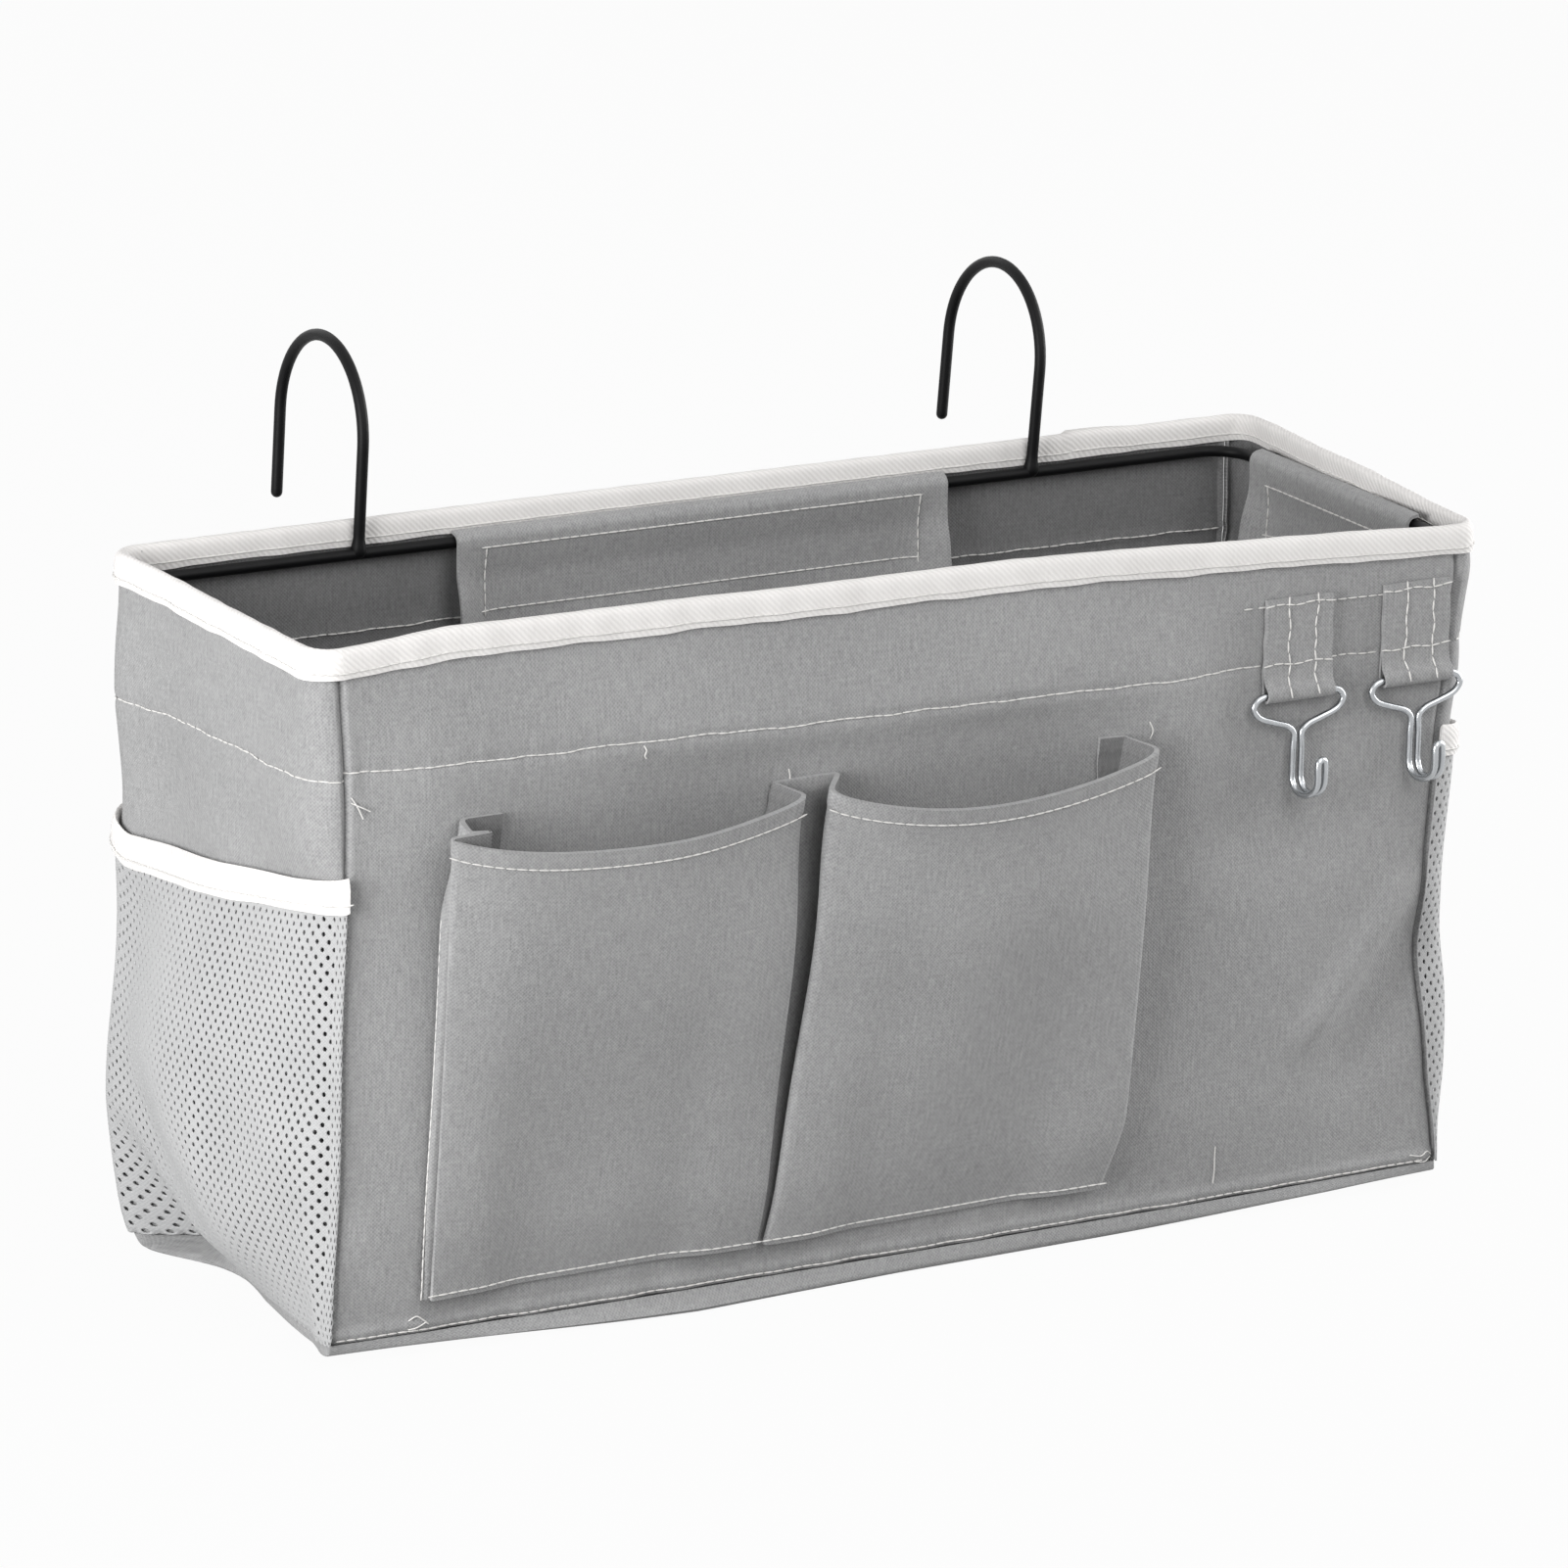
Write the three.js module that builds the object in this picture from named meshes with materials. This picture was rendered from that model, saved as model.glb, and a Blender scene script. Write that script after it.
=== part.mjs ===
import * as THREE from 'three';

// Bedside caddy: an open cloth box that hangs on a bed rail by two wire hooks.
// Millimetres, +Z up. The origin lies under the middle of the base. The front faces -Y, the rail is at +Y.

// Cloth box
const BODY_WIDTH = 380;
const BODY_DEPTH = 130;
const BODY_HEIGHT = 210;
const CORNER_RADIUS = 8;
const CLOTH = 1.2;
const BASE_SAG = 6;
const BASE_TURN = 7;

// Clearance between pieces that are sewn together or rest on each other
const SEAM = 0.3;

// White folded tape on the rim and on the mesh pockets
const TAPE = 1;
const RIM_TAPE_OUTSIDE = 9.5;
const RIM_TAPE_INSIDE = 7.5;
const MESH_TAPE_HEIGHT = 9;
const TAPE_ROUND = 0.7;

// Wire ring inside the rim and the two hooks welded on it
const WIRE = 3.5;
const FRAME_BEND = 12;
const HOOK_SPACING = 228;
const HOOK_SPAN = 55;
const HOOK_RISE = 59;
const HOOK_TIP_RISE = 6;
const LEFT_HOOK_LEAN = 2.5;
const RIGHT_HOOK_LEAN = 4;

// Flaps that fold over the ring, and their closing strips
const LONG_FLAP = 166;
const SHORT_FLAP = 88;
const FLAP_DROP = 36;
const FLAP_ROOT_RISE = 3;
const FLAP_EASE = 6;
const STRIP = 1.2;
const STRIP_HEIGHT = 14;
const STRIP_MARGIN = 9;
const STRIP_FROM_EDGE = 2;

// Pleated strip that makes the two front pockets
const POCKET_FROM_LEFT = 33;
const POCKET_WIDTH = 113;
const POCKET_TOP_DROP = 54;
const POCKET_HEIGHT = 138;
const POCKET_OPENING = 10;
const POCKET_BOW = 9;
const POCKET_DIP = 5;
const POCKET_SPREAD = 8;
const PLEAT = 13;
const PLEAT_FADE = 19.5;

// Mesh pockets on the sides
const NET = 0.8;
const MESH_TOP_DROP = 68;
const MESH_SAG = 5;
const MESH_BULGE = 14;
const MESH_BELLY_TURN = 135;
const MESH_FLARE_FROM = 0.6;
const MESH_FLARE_TO = 0.9;
const NET_PITCH = 11.4;
const NET_GAP_SHARE = 0.74;
const NET_HEM = 3;

// Cloth tabs and the key hooks that swing in them
const TAB_WIDTH = 23;
const TAB_PITCH = 41;
const TAB_FROM_RIGHT = 18;
const TAB_TOP_DROP = 20;
const TAB_LENGTH = 31;
const TAB_STRAP = 1;
const KEY_WIRE = 2;
const KEY_RUNNING = 0.3;
const KEY_SHOULDER = 4;
const KEY_NECK_DROP = 10;
const KEY_ROUND_SHARE = 0.12;
const KEY_TURN_SHARE = 0.35;
const KEY_RETURN_SHARE = 0.62;
const KEY_SLOPE_SHARE = 0.82;
const KEY_SHANK = 15;
const KEY_BEND = 5;
const KEY_TIP = 5;
const KEY_PAIR = 3;
const KEY_TWIST = 15;

// Facets
const CORNER_STEPS = 4;
const WIRE_SIDES = 8;
const HOOK_STEPS = 40;
const KEY_STEPS = 88;
const KEY_SIDES = 6;
const ARC_STEPS = 5;
const BORE_STEPS = 12;
const POCKET_STEPS = 10;
const POCKET_LEVELS = 4;

// Finishes
const FINISHES = {
  cloth: new THREE.MeshStandardMaterial({ color: '#8e8f91', roughness: 0.92, metalness: 0 }),
  tape: new THREE.MeshStandardMaterial({ color: '#ece8e1', roughness: 0.85, metalness: 0 }),
  net: new THREE.MeshStandardMaterial({ color: '#d3d4d5', roughness: 0.8, metalness: 0 }),
  strip: new THREE.MeshStandardMaterial({ color: '#55575a', roughness: 0.95, metalness: 0 }),
  blackWire: new THREE.MeshStandardMaterial({ color: '#1d1e20', roughness: 0.4, metalness: 0.3 }),
  zincWire: new THREE.MeshStandardMaterial({ color: '#c9ccd0', roughness: 0.3, metalness: 1 }),
};

// Heights that several pieces share
const SEAM_Z = BASE_SAG;
const WALL_BOTTOM = SEAM_Z + SEAM;
const WALL_TOP = BODY_HEIGHT - TAPE - SEAM;
const TAPE_INSET = CLOTH + SEAM + TAPE;
const FRAME_INSET = TAPE_INSET + SEAM + WIRE / 2;
const FRAME_Z = BODY_HEIGHT - RIM_TAPE_INSIDE - SEAM - WIRE / 2;

const caddy = new THREE.Group();

function add(parent, name, geometry, finish) {
  const mesh = new THREE.Mesh(geometry, FINISHES[finish]);
  mesh.name = name;
  parent.add(mesh);
  return mesh;
}

function smooth(from, to, value) {
  return THREE.MathUtils.smoothstep(value, from, to);
}

// A closed body from points and triangles, turned so that its faces point outwards
function solid(points, faces) {
  const volume = faces.reduce(
    (sum, [a, b, c]) => sum + points[a].dot(points[b].clone().cross(points[c])),
    0,
  );
  const turned = faces.map(([a, b, c]) => (volume > 0 ? [a, b, c] : [a, c, b]));
  const geometry = new THREE.BufferGeometry();
  const coordinates = points.flatMap((point) => point.toArray());
  geometry.setAttribute('position', new THREE.Float32BufferAttribute(coordinates, 3));
  geometry.setIndex(turned.flat());
  geometry.computeVertexNormals();
  return geometry;
}

// Triangles across one outline of a loft, in the outline's own plane
function capFaces(outline, first) {
  const normal = new THREE.Vector3();
  outline.forEach((point, k) => {
    normal.add(point.clone().cross(outline[(k + 1) % outline.length]));
  });
  normal.normalize();
  const across = Math.abs(normal.z) < 0.9 ? new THREE.Vector3(0, 0, 1) : new THREE.Vector3(1, 0, 0);
  const u = across.cross(normal).normalize();
  const v = normal.clone().cross(u);
  const flat = outline.map((point) => new THREE.Vector2(point.dot(u), point.dot(v)));
  const triangles = THREE.ShapeUtils.triangulateShape(flat, []);
  return triangles.map((triangle) => triangle.map((k) => first + k));
}

// Joins outlines of equal point count: an open run gets a cap at each end, a ring joins last to first
function loft(outlines, ring = false) {
  const count = outlines[0].length;
  const faces = [];
  const joins = ring ? outlines.length : outlines.length - 1;
  for (let i = 0; i < joins; i += 1) {
    const here = i * count;
    const next = ((i + 1) % outlines.length) * count;
    for (let k = 0; k < count; k += 1) {
      const after = (k + 1) % count;
      faces.push([here + k, here + after, next + after]);
      faces.push([here + k, next + after, next + k]);
    }
  }
  if (!ring) {
    const end = outlines.length - 1;
    faces.push(...capFaces(outlines[0], 0).map(([a, b, c]) => [a, c, b]));
    faces.push(...capFaces(outlines[end], end * count));
  }
  return solid(outlines.flat(), faces);
}

// Rounded rectangle seen from above, set in from the box's outer face
function rimOutline(inset, z, radius = Math.max(CORNER_RADIUS - inset, CLOTH / 2)) {
  const x = BODY_WIDTH / 2 - inset - radius;
  const y = BODY_DEPTH / 2 - inset - radius;
  const outline = [];
  for (const [sx, sy, start] of [[1, 1, 0], [-1, 1, 1], [-1, -1, 2], [1, -1, 3]]) {
    for (let k = 0; k <= CORNER_STEPS; k += 1) {
      const angle = (start + k / CORNER_STEPS) * (Math.PI / 2);
      const px = sx * x + radius * Math.cos(angle);
      const py = sy * y + radius * Math.sin(angle);
      outline.push(new THREE.Vector3(px, py, z));
    }
  }
  return outline;
}

// Shallow cloth tray: flat underneath, with edges that turn up to the wall seam
function basePanel() {
  const outlines = [];
  const turn = (wall, share) => {
    const angle = share * (Math.PI / 2);
    const inset = BASE_TURN - (BASE_TURN - wall) * Math.sin(angle);
    outlines.push(rimOutline(inset, SEAM_Z - (BASE_SAG - wall) * Math.cos(angle)));
  };
  for (let k = 0; k <= CORNER_STEPS; k += 1) turn(0, k / CORNER_STEPS);
  for (let k = CORNER_STEPS; k >= 0; k -= 1) turn(CLOTH, k / CORNER_STEPS);
  return loft(outlines);
}

function flatPanel() {
  const width = BODY_WIDTH - 2 * CORNER_RADIUS - 2 * SEAM;
  return new THREE.BoxGeometry(width, CLOTH, WALL_TOP - WALL_BOTTOM);
}

// Stations along the left wall's outer face, from the front seam round both corners to the back seam
function sideStations(flatSteps) {
  const cornerLength = (Math.PI / 2) * CORNER_RADIUS;
  const flatLength = BODY_DEPTH - 2 * CORNER_RADIUS;
  const total = 2 * cornerLength + flatLength;
  const x = CORNER_RADIUS - BODY_WIDTH / 2;
  const y = flatLength / 2;
  const stations = [];
  const station = (cy, angle, length) => {
    const nx = Math.cos(angle);
    const ny = Math.sin(angle);
    stations.push({
      x: x + CORNER_RADIUS * nx,
      y: cy + CORNER_RADIUS * ny,
      nx,
      ny,
      share: length / total,
    });
  };
  for (let k = 0; k <= CORNER_STEPS; k += 1) {
    const share = k / CORNER_STEPS;
    station(-y, (1.5 - share / 2) * Math.PI, share * cornerLength);
  }
  for (let k = 1; k < flatSteps; k += 1) {
    const along = (k / flatSteps) * flatLength;
    station(along - y, Math.PI, cornerLength + along);
  }
  for (let k = 0; k <= CORNER_STEPS; k += 1) {
    const share = k / CORNER_STEPS;
    station(y, (1 - share / 2) * Math.PI, cornerLength + flatLength + share * cornerLength);
  }
  return stations;
}

function outFrom(station, out, z) {
  return new THREE.Vector3(station.x + station.nx * out, station.y + station.ny * out, z);
}

// Side wall with its two rounded corners, sewn to the front and back panels where the corners end
function sidePanel() {
  const outlines = sideStations(1).map((station) => [
    outFrom(station, -CLOTH, WALL_BOTTOM),
    outFrom(station, 0, WALL_BOTTOM),
    outFrom(station, 0, WALL_TOP),
    outFrom(station, -CLOTH, WALL_TOP),
  ]);
  return loft(outlines);
}

// Folded tape that straddles the top edge of the walls all round
function rimBinding() {
  const outside = BODY_HEIGHT - RIM_TAPE_OUTSIDE;
  const inside = BODY_HEIGHT - RIM_TAPE_INSIDE;
  const outer = -(SEAM + TAPE);
  const profile = [
    [outer, outside],
    [outer, BODY_HEIGHT - TAPE_ROUND],
    [outer + TAPE_ROUND, BODY_HEIGHT],
    [TAPE_INSET - TAPE_ROUND, BODY_HEIGHT],
    [TAPE_INSET, BODY_HEIGHT - TAPE_ROUND],
    [TAPE_INSET, inside],
    [CLOTH + SEAM, inside],
    [CLOTH + SEAM, BODY_HEIGHT - TAPE],
    [-SEAM, BODY_HEIGHT - TAPE],
    [-SEAM, outside],
  ];
  return loft(profile.map(([inset, z]) => rimOutline(inset, z)), true);
}

// Closed ring of round wire
function wireFrame() {
  const outlines = [];
  for (let k = 0; k < WIRE_SIDES; k += 1) {
    const angle = (k / WIRE_SIDES) * 2 * Math.PI;
    const reach = (WIRE / 2) * Math.cos(angle);
    const z = FRAME_Z + (WIRE / 2) * Math.sin(angle);
    outlines.push(rimOutline(FRAME_INSET - reach, z, FRAME_BEND + reach));
  }
  return loft(outlines, true);
}

class ArcCurve extends THREE.Curve {
  constructor(centre, from, towards, sweep) {
    super();
    Object.assign(this, { centre, from, towards, sweep });
  }

  getPoint(t, target = new THREE.Vector3()) {
    const angle = this.sweep * t;
    target.copy(this.centre);
    target.addScaledVector(this.from, Math.cos(angle));
    return target.addScaledVector(this.towards, Math.sin(angle));
  }
}

function roundBar(path, diameter, sides, steps) {
  const section = new THREE.Shape();
  for (let k = 0; k < sides; k += 1) {
    const angle = (k / sides) * 2 * Math.PI;
    const x = (diameter / 2) * Math.cos(angle);
    const y = (diameter / 2) * Math.sin(angle);
    if (k === 0) section.moveTo(x, y);
    else section.lineTo(x, y);
  }
  section.closePath();
  return new THREE.ExtrudeGeometry(section, { steps, extrudePath: path, curveSegments: 1 });
}

// Upright shank on the ring, a half turn over the rail, and a free end that points down
function hangHook() {
  const radius = HOOK_SPAN / 2;
  const spring = HOOK_RISE - radius;
  const path = new THREE.CurvePath();
  const foot = new THREE.Vector3(0, 0, WIRE / 2 + SEAM);
  path.add(new THREE.LineCurve3(foot, new THREE.Vector3(0, 0, spring)));
  const centre = new THREE.Vector3(0, radius, spring);
  const towards = new THREE.Vector3(0, 0, radius);
  path.add(new ArcCurve(centre, new THREE.Vector3(0, -radius, 0), towards, Math.PI));
  const bend = new THREE.Vector3(0, HOOK_SPAN, spring);
  path.add(new THREE.LineCurve3(bend, new THREE.Vector3(0, HOOK_SPAN, HOOK_TIP_RISE)));
  return roundBar(path, WIRE, WIRE_SIDES, HOOK_STEPS);
}

// Both faces of a bent sheet of even thickness, from its middle line in a plane
function sheetOutline(line, thickness) {
  const sides = [[], []];
  line.forEach((point, k) => {
    const before = line[Math.max(k - 1, 0)];
    const after = line[Math.min(k + 1, line.length - 1)];
    const coming = k === 0 ? after.clone().sub(point) : point.clone().sub(before);
    const going = k === line.length - 1 ? coming.clone() : after.clone().sub(point);
    coming.normalize();
    going.normalize();
    const normal = new THREE.Vector2(-coming.y - going.y, coming.x + going.x).normalize();
    const square = new THREE.Vector2(-coming.y, coming.x);
    const reach = thickness / 2 / normal.dot(square);
    sides[0].push(point.clone().addScaledVector(normal, reach));
    sides[1].push(point.clone().addScaledVector(normal, -reach));
  });
  return sides;
}

// Middle line of a flap, as distance in from the wall's inner face and height:
// from its root beside the rim tape, over the ring and down to the closing strips
const FLAP_ROOT = new THREE.Vector2(
  SEAM + TAPE + SEAM + CLOTH / 2,
  BODY_HEIGHT - RIM_TAPE_INSIDE + FLAP_ROOT_RISE,
);
const STRIP_STACK = 3 * SEAM + 2 * STRIP;
const FLAP_BOTTOM = BODY_HEIGHT - FLAP_DROP;

function flapLine() {
  const ring = new THREE.Vector2(FRAME_INSET - CLOTH, FRAME_Z);
  const wrap = WIRE / 2 + SEAM + CLOTH / 2;
  const away = FLAP_ROOT.clone().sub(ring);
  const start = away.angle() - Math.acos(wrap / away.length());
  const line = [FLAP_ROOT.clone()];
  for (let k = 0; k <= ARC_STEPS; k += 1) {
    const angle = start * (1 - k / ARC_STEPS);
    const offset = new THREE.Vector2(Math.cos(angle), Math.sin(angle)).multiplyScalar(wrap);
    line.push(ring.clone().add(offset));
  }
  const rest = STRIP_STACK + CLOTH / 2;
  for (let k = 1; k <= ARC_STEPS; k += 1) {
    const share = k / ARC_STEPS;
    const out = THREE.MathUtils.lerp(ring.x + wrap, rest, smooth(0, 1, share));
    line.push(new THREE.Vector2(out, FRAME_Z - FLAP_EASE * share));
  }
  line.push(new THREE.Vector2(rest, FLAP_BOTTOM));
  return line;
}

function flap(width) {
  const [inner, outer] = sheetOutline(flapLine(), CLOTH);
  const outline = [...inner, ...outer.reverse()];
  const across = [-width / 2, width / 2];
  return loft(across.map((x) => outline.map((point) => new THREE.Vector3(x, point.x, point.y))));
}

function closingStrip(width) {
  return new THREE.BoxGeometry(width - 2 * STRIP_MARGIN, STRIP, STRIP_HEIGHT);
}

// A wall's own axes: x along the wall, y in from its inner face
function addFlap(side, width, distance, turn) {
  const wall = new THREE.Group();
  wall.rotation.z = turn;
  wall.position.set(Math.sin(turn) * distance, -Math.cos(turn) * distance, 0);
  const stripZ = FLAP_BOTTOM + STRIP_FROM_EDGE + STRIP_HEIGHT / 2;
  add(wall, `${side}_flap`, flap(width), 'cloth');
  const onWall = add(wall, `${side}_wall_strip`, closingStrip(width), 'strip');
  onWall.position.set(0, SEAM + STRIP / 2, stripZ);
  const onFlap = add(wall, `${side}_flap_strip`, closingStrip(width), 'strip');
  onFlap.position.set(0, 2 * SEAM + STRIP + STRIP / 2, stripZ);
  caddy.add(wall);
}

// One length of cloth folded into two pockets: each front is held by a pleat at both edges.
// The pleats lie flat at the bottom seam and spread towards the mouth.
function pleatLine(open) {
  const layer = CLOTH + SEAM;
  const back = SEAM + CLOTH / 2;
  const front = back + 2 * layer + POCKET_OPENING * open;
  const first = POCKET_FROM_LEFT - BODY_WIDTH / 2;
  const second = first + POCKET_WIDTH + layer + POCKET_SPREAD * open;
  const line = [];
  const point = (x, out, dip = 0) => line.push({ at: new THREE.Vector2(x, out), dip });
  [first, second].forEach((left, pocket) => {
    const right = left + POCKET_WIDTH;
    if (pocket === 0) point(left, back);
    point(left + PLEAT, back);
    point(left + PLEAT, back + layer);
    point(left, front - layer);
    for (let k = 0; k <= POCKET_STEPS; k += 1) {
      const share = k / POCKET_STEPS;
      const crown = Math.sin(Math.PI * share);
      const edge = Math.min(share, 1 - share) * POCKET_WIDTH;
      const pressed = 2 * layer * (1 - open) * smooth(PLEAT, PLEAT + PLEAT_FADE, edge);
      const out = front + POCKET_BOW * open * crown - pressed;
      point(left + share * POCKET_WIDTH, out, POCKET_DIP * crown);
    }
    point(right, front - layer);
    point(right - PLEAT, back + layer);
    point(right - PLEAT, back);
    if (pocket === 1) point(right, back);
  });
  return line;
}

function frontPocketStrip() {
  const top = BODY_HEIGHT - POCKET_TOP_DROP;
  const bottom = top - POCKET_HEIGHT;
  const levels = [];
  for (let k = 0; k <= POCKET_LEVELS; k += 1) {
    const open = k / POCKET_LEVELS;
    const line = pleatLine(open);
    const [far, near] = sheetOutline(line.map((point) => point.at), CLOTH);
    const height = line.map((point) => bottom + open * (POCKET_HEIGHT - point.dip));
    levels.push({ far, near, height });
  }
  const place = (point, z) => new THREE.Vector3(point.x, -BODY_DEPTH / 2 - point.y, z);
  const outlines = levels[0].far.map((_, i) => {
    const rising = levels.map((level) => place(level.far[i], level.height[i]));
    const falling = levels.map((level) => place(level.near[i], level.height[i])).reverse();
    return [...rising, ...falling];
  });
  return loft(outlines);
}

// Shape of a mesh pocket: the height of its mouth and how far the net stands off the wall
const MESH_TOP = BODY_HEIGHT - MESH_TOP_DROP;

function meshMouth(station) {
  return MESH_TOP - MESH_SAG * Math.sin(Math.PI * station.share) ** 2;
}

function meshOut(station, z) {
  const rise = (z - WALL_BOTTOM) / (meshMouth(station) - WALL_BOTTOM);
  const turn = THREE.MathUtils.degToRad(MESH_BELLY_TURN) * rise;
  const belly = MESH_BULGE * Math.sin(Math.PI * station.share) * Math.sin(turn);
  return SEAM + NET / 2 + (TAPE + SEAM) * smooth(MESH_FLARE_FROM, MESH_FLARE_TO, rise) + belly;
}

// Heights of the rows of the net at a station: a plain hem, the open rows, and the edge inside the tape
function netRows(station, rows) {
  const low = WALL_BOTTOM + NET_HEM;
  const high = meshMouth(station) - MESH_TAPE_HEIGHT - NET_HEM;
  const heights = [WALL_BOTTOM];
  for (let k = 0; k <= rows; k += 1) heights.push(low + ((high - low) * k) / rows);
  const slot = meshMouth(station) - TAPE - SEAM;
  heights.push(slot);
  return heights;
}

// Knitted net with diamond gaps on the flat of the side and plain cloth round its corners
function meshPocket() {
  const columns = Math.round((BODY_DEPTH - 2 * CORNER_RADIUS) / NET_PITCH);
  const rows = Math.round((MESH_TOP - MESH_SAG - MESH_TAPE_HEIGHT - WALL_BOTTOM) / NET_PITCH);
  const stations = sideStations(columns);
  const heights = stations.map((station) => netRows(station, rows));
  const points = [];
  const faces = [];
  const corner = (i, j, face) => {
    const out = meshOut(stations[i], heights[i][j]) + (face - 0.5) * NET;
    return outFrom(stations[i], out, heights[i][j]);
  };
  const grid = stations.map((_, i) =>
    heights[i].map((__, j) => [0, 1].map((face) => points.push(corner(i, j, face)) - 1)),
  );
  const quad = (a, b, c, d) => faces.push([a, b, c], [a, c, d]);
  const facing = (face, ring) => (face === 1 ? ring : [...ring].reverse());
  const last = stations.length - 1;
  const top = heights[0].length - 1;
  for (let i = 0; i < last; i += 1) {
    for (let j = 0; j < top; j += 1) {
      const ring = [[i, j], [i, j + 1], [i + 1, j + 1], [i + 1, j]];
      const open = i >= CORNER_STEPS && i < CORNER_STEPS + columns && j > 0 && j < top - 1;
      const gaps = [];
      for (const face of [0, 1]) {
        const edge = ring.map(([p, q]) => grid[p][q][face]);
        if (!open) {
          quad(...facing(face, edge));
          continue;
        }
        const middle = new THREE.Vector3();
        edge.forEach((k) => middle.addScaledVector(points[k], 0.25));
        const gap = edge.map((k, n) => {
          const side = points[k].clone().lerp(points[edge[(n + 1) % 4]], 0.5);
          return points.push(middle.clone().lerp(side, NET_GAP_SHARE)) - 1;
        });
        gaps.push(gap);
        edge.forEach((k, n) => {
          const next = (n + 1) % 4;
          faces.push(facing(face, [k, edge[next], gap[n]]));
          faces.push(facing(face, [edge[next], gap[next], gap[n]]));
        });
      }
      if (open) {
        gaps[0].forEach((k, n) => {
          const next = (n + 1) % 4;
          quad(gaps[1][n], gaps[1][next], gaps[0][next], k);
        });
      }
    }
  }
  for (let i = 0; i < last; i += 1) {
    quad(grid[i][0][0], grid[i][0][1], grid[i + 1][0][1], grid[i + 1][0][0]);
    quad(grid[i + 1][top][0], grid[i + 1][top][1], grid[i][top][1], grid[i][top][0]);
  }
  for (let j = 0; j < top; j += 1) {
    quad(grid[0][j + 1][0], grid[0][j + 1][1], grid[0][j][1], grid[0][j][0]);
    quad(grid[last][j][0], grid[last][j][1], grid[last][j + 1][1], grid[last][j + 1][0]);
  }
  return solid(points, faces);
}

// Folded tape over the mouth of a mesh pocket
function meshBinding() {
  const half = NET / 2 + SEAM;
  const outlines = sideStations(POCKET_STEPS).map((station) => {
    const mouth = meshMouth(station);
    const bottom = mouth - MESH_TAPE_HEIGHT;
    const at = (side, z) => outFrom(station, meshOut(station, z) + side, z);
    return [
      at(-half - TAPE, bottom),
      at(-half - TAPE, mouth),
      at(half + TAPE, mouth),
      at(half + TAPE, bottom),
      at(half, bottom),
      at(half, mouth - TAPE),
      at(-half, mouth - TAPE),
      at(-half, bottom),
    ];
  });
  return loft(outlines);
}

// Strip of cloth doubled into a loop, with the wire of a key hook running in its fold
const TAB_BORE = KEY_WIRE / 2 + KEY_RUNNING;
const TAB_LOOP = TAB_BORE + TAB_STRAP;
const TAB_TOP = BODY_HEIGHT - TAB_TOP_DROP;
const KEY_AXIS_Z = TAB_TOP - TAB_LENGTH + TAB_LOOP;

function hookTab() {
  const outline = new THREE.Shape();
  const shoulder = KEY_AXIS_Z + 2 * TAB_LOOP;
  outline.moveTo(0, TAB_TOP);
  outline.lineTo(0, KEY_AXIS_Z);
  outline.absarc(TAB_LOOP, KEY_AXIS_Z, TAB_LOOP, Math.PI, 2 * Math.PI, false);
  outline.lineTo(2 * TAB_STRAP, shoulder);
  outline.lineTo(2 * TAB_STRAP, TAB_TOP);
  outline.closePath();
  const bore = new THREE.Path();
  bore.absarc(TAB_LOOP, KEY_AXIS_Z, TAB_BORE, 0, 2 * Math.PI, true);
  outline.holes.push(bore);
  const geometry = new THREE.ExtrudeGeometry(outline, {
    depth: TAB_WIDTH,
    steps: 1,
    bevelEnabled: false,
    curveSegments: BORE_STEPS,
  });
  geometry.translate(0, 0, -TAB_WIDTH / 2);
  // The outline's first axis points out of the front panel and its second one up
  geometry.applyMatrix4(
    new THREE.Matrix4().makeBasis(
      new THREE.Vector3(0, -1, 0),
      new THREE.Vector3(0, 0, 1),
      new THREE.Vector3(-1, 0, 0),
    ),
  );
  return geometry;
}

// One wire: two ends that meet in the cloth loop, shoulders, a double shank and a hook closed by a U bend
function keyHookHalf() {
  const shoulder = TAB_WIDTH / 2 + KEY_SHOULDER;
  const rail = KEY_PAIR / 2;
  const bendZ = -(KEY_NECK_DROP + KEY_SHANK);
  const half = [
    [KEY_RUNNING, 0, 0],
    [TAB_WIDTH / 4, 0, 0],
    [shoulder - KEY_SHOULDER, 0, 0],
    [shoulder - KEY_WIRE / 2, 0, -KEY_ROUND_SHARE * KEY_NECK_DROP],
    [shoulder, 0, -KEY_TURN_SHARE * KEY_NECK_DROP],
    [shoulder - KEY_WIRE, 0, -KEY_RETURN_SHARE * KEY_NECK_DROP],
    [(shoulder + rail) / 2, 0, -KEY_SLOPE_SHARE * KEY_NECK_DROP],
    [rail + KEY_WIRE, 0, -KEY_NECK_DROP],
    [rail, 0, -KEY_NECK_DROP - KEY_WIRE],
    [rail, 0, (bendZ - KEY_NECK_DROP) / 2],
  ];
  for (let k = 0; k <= 2 * ARC_STEPS; k += 1) {
    const angle = (k / (2 * ARC_STEPS)) * Math.PI;
    const out = KEY_BEND * (1 - Math.cos(angle));
    half.push([rail, out, bendZ - KEY_BEND * Math.sin(angle)]);
  }
  half.push([rail, 2 * KEY_BEND, bendZ + KEY_TIP]);
  half.push([rail * Math.SQRT1_2, 2 * KEY_BEND, bendZ + KEY_TIP + rail * Math.SQRT1_2]);
  return half;
}

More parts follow.
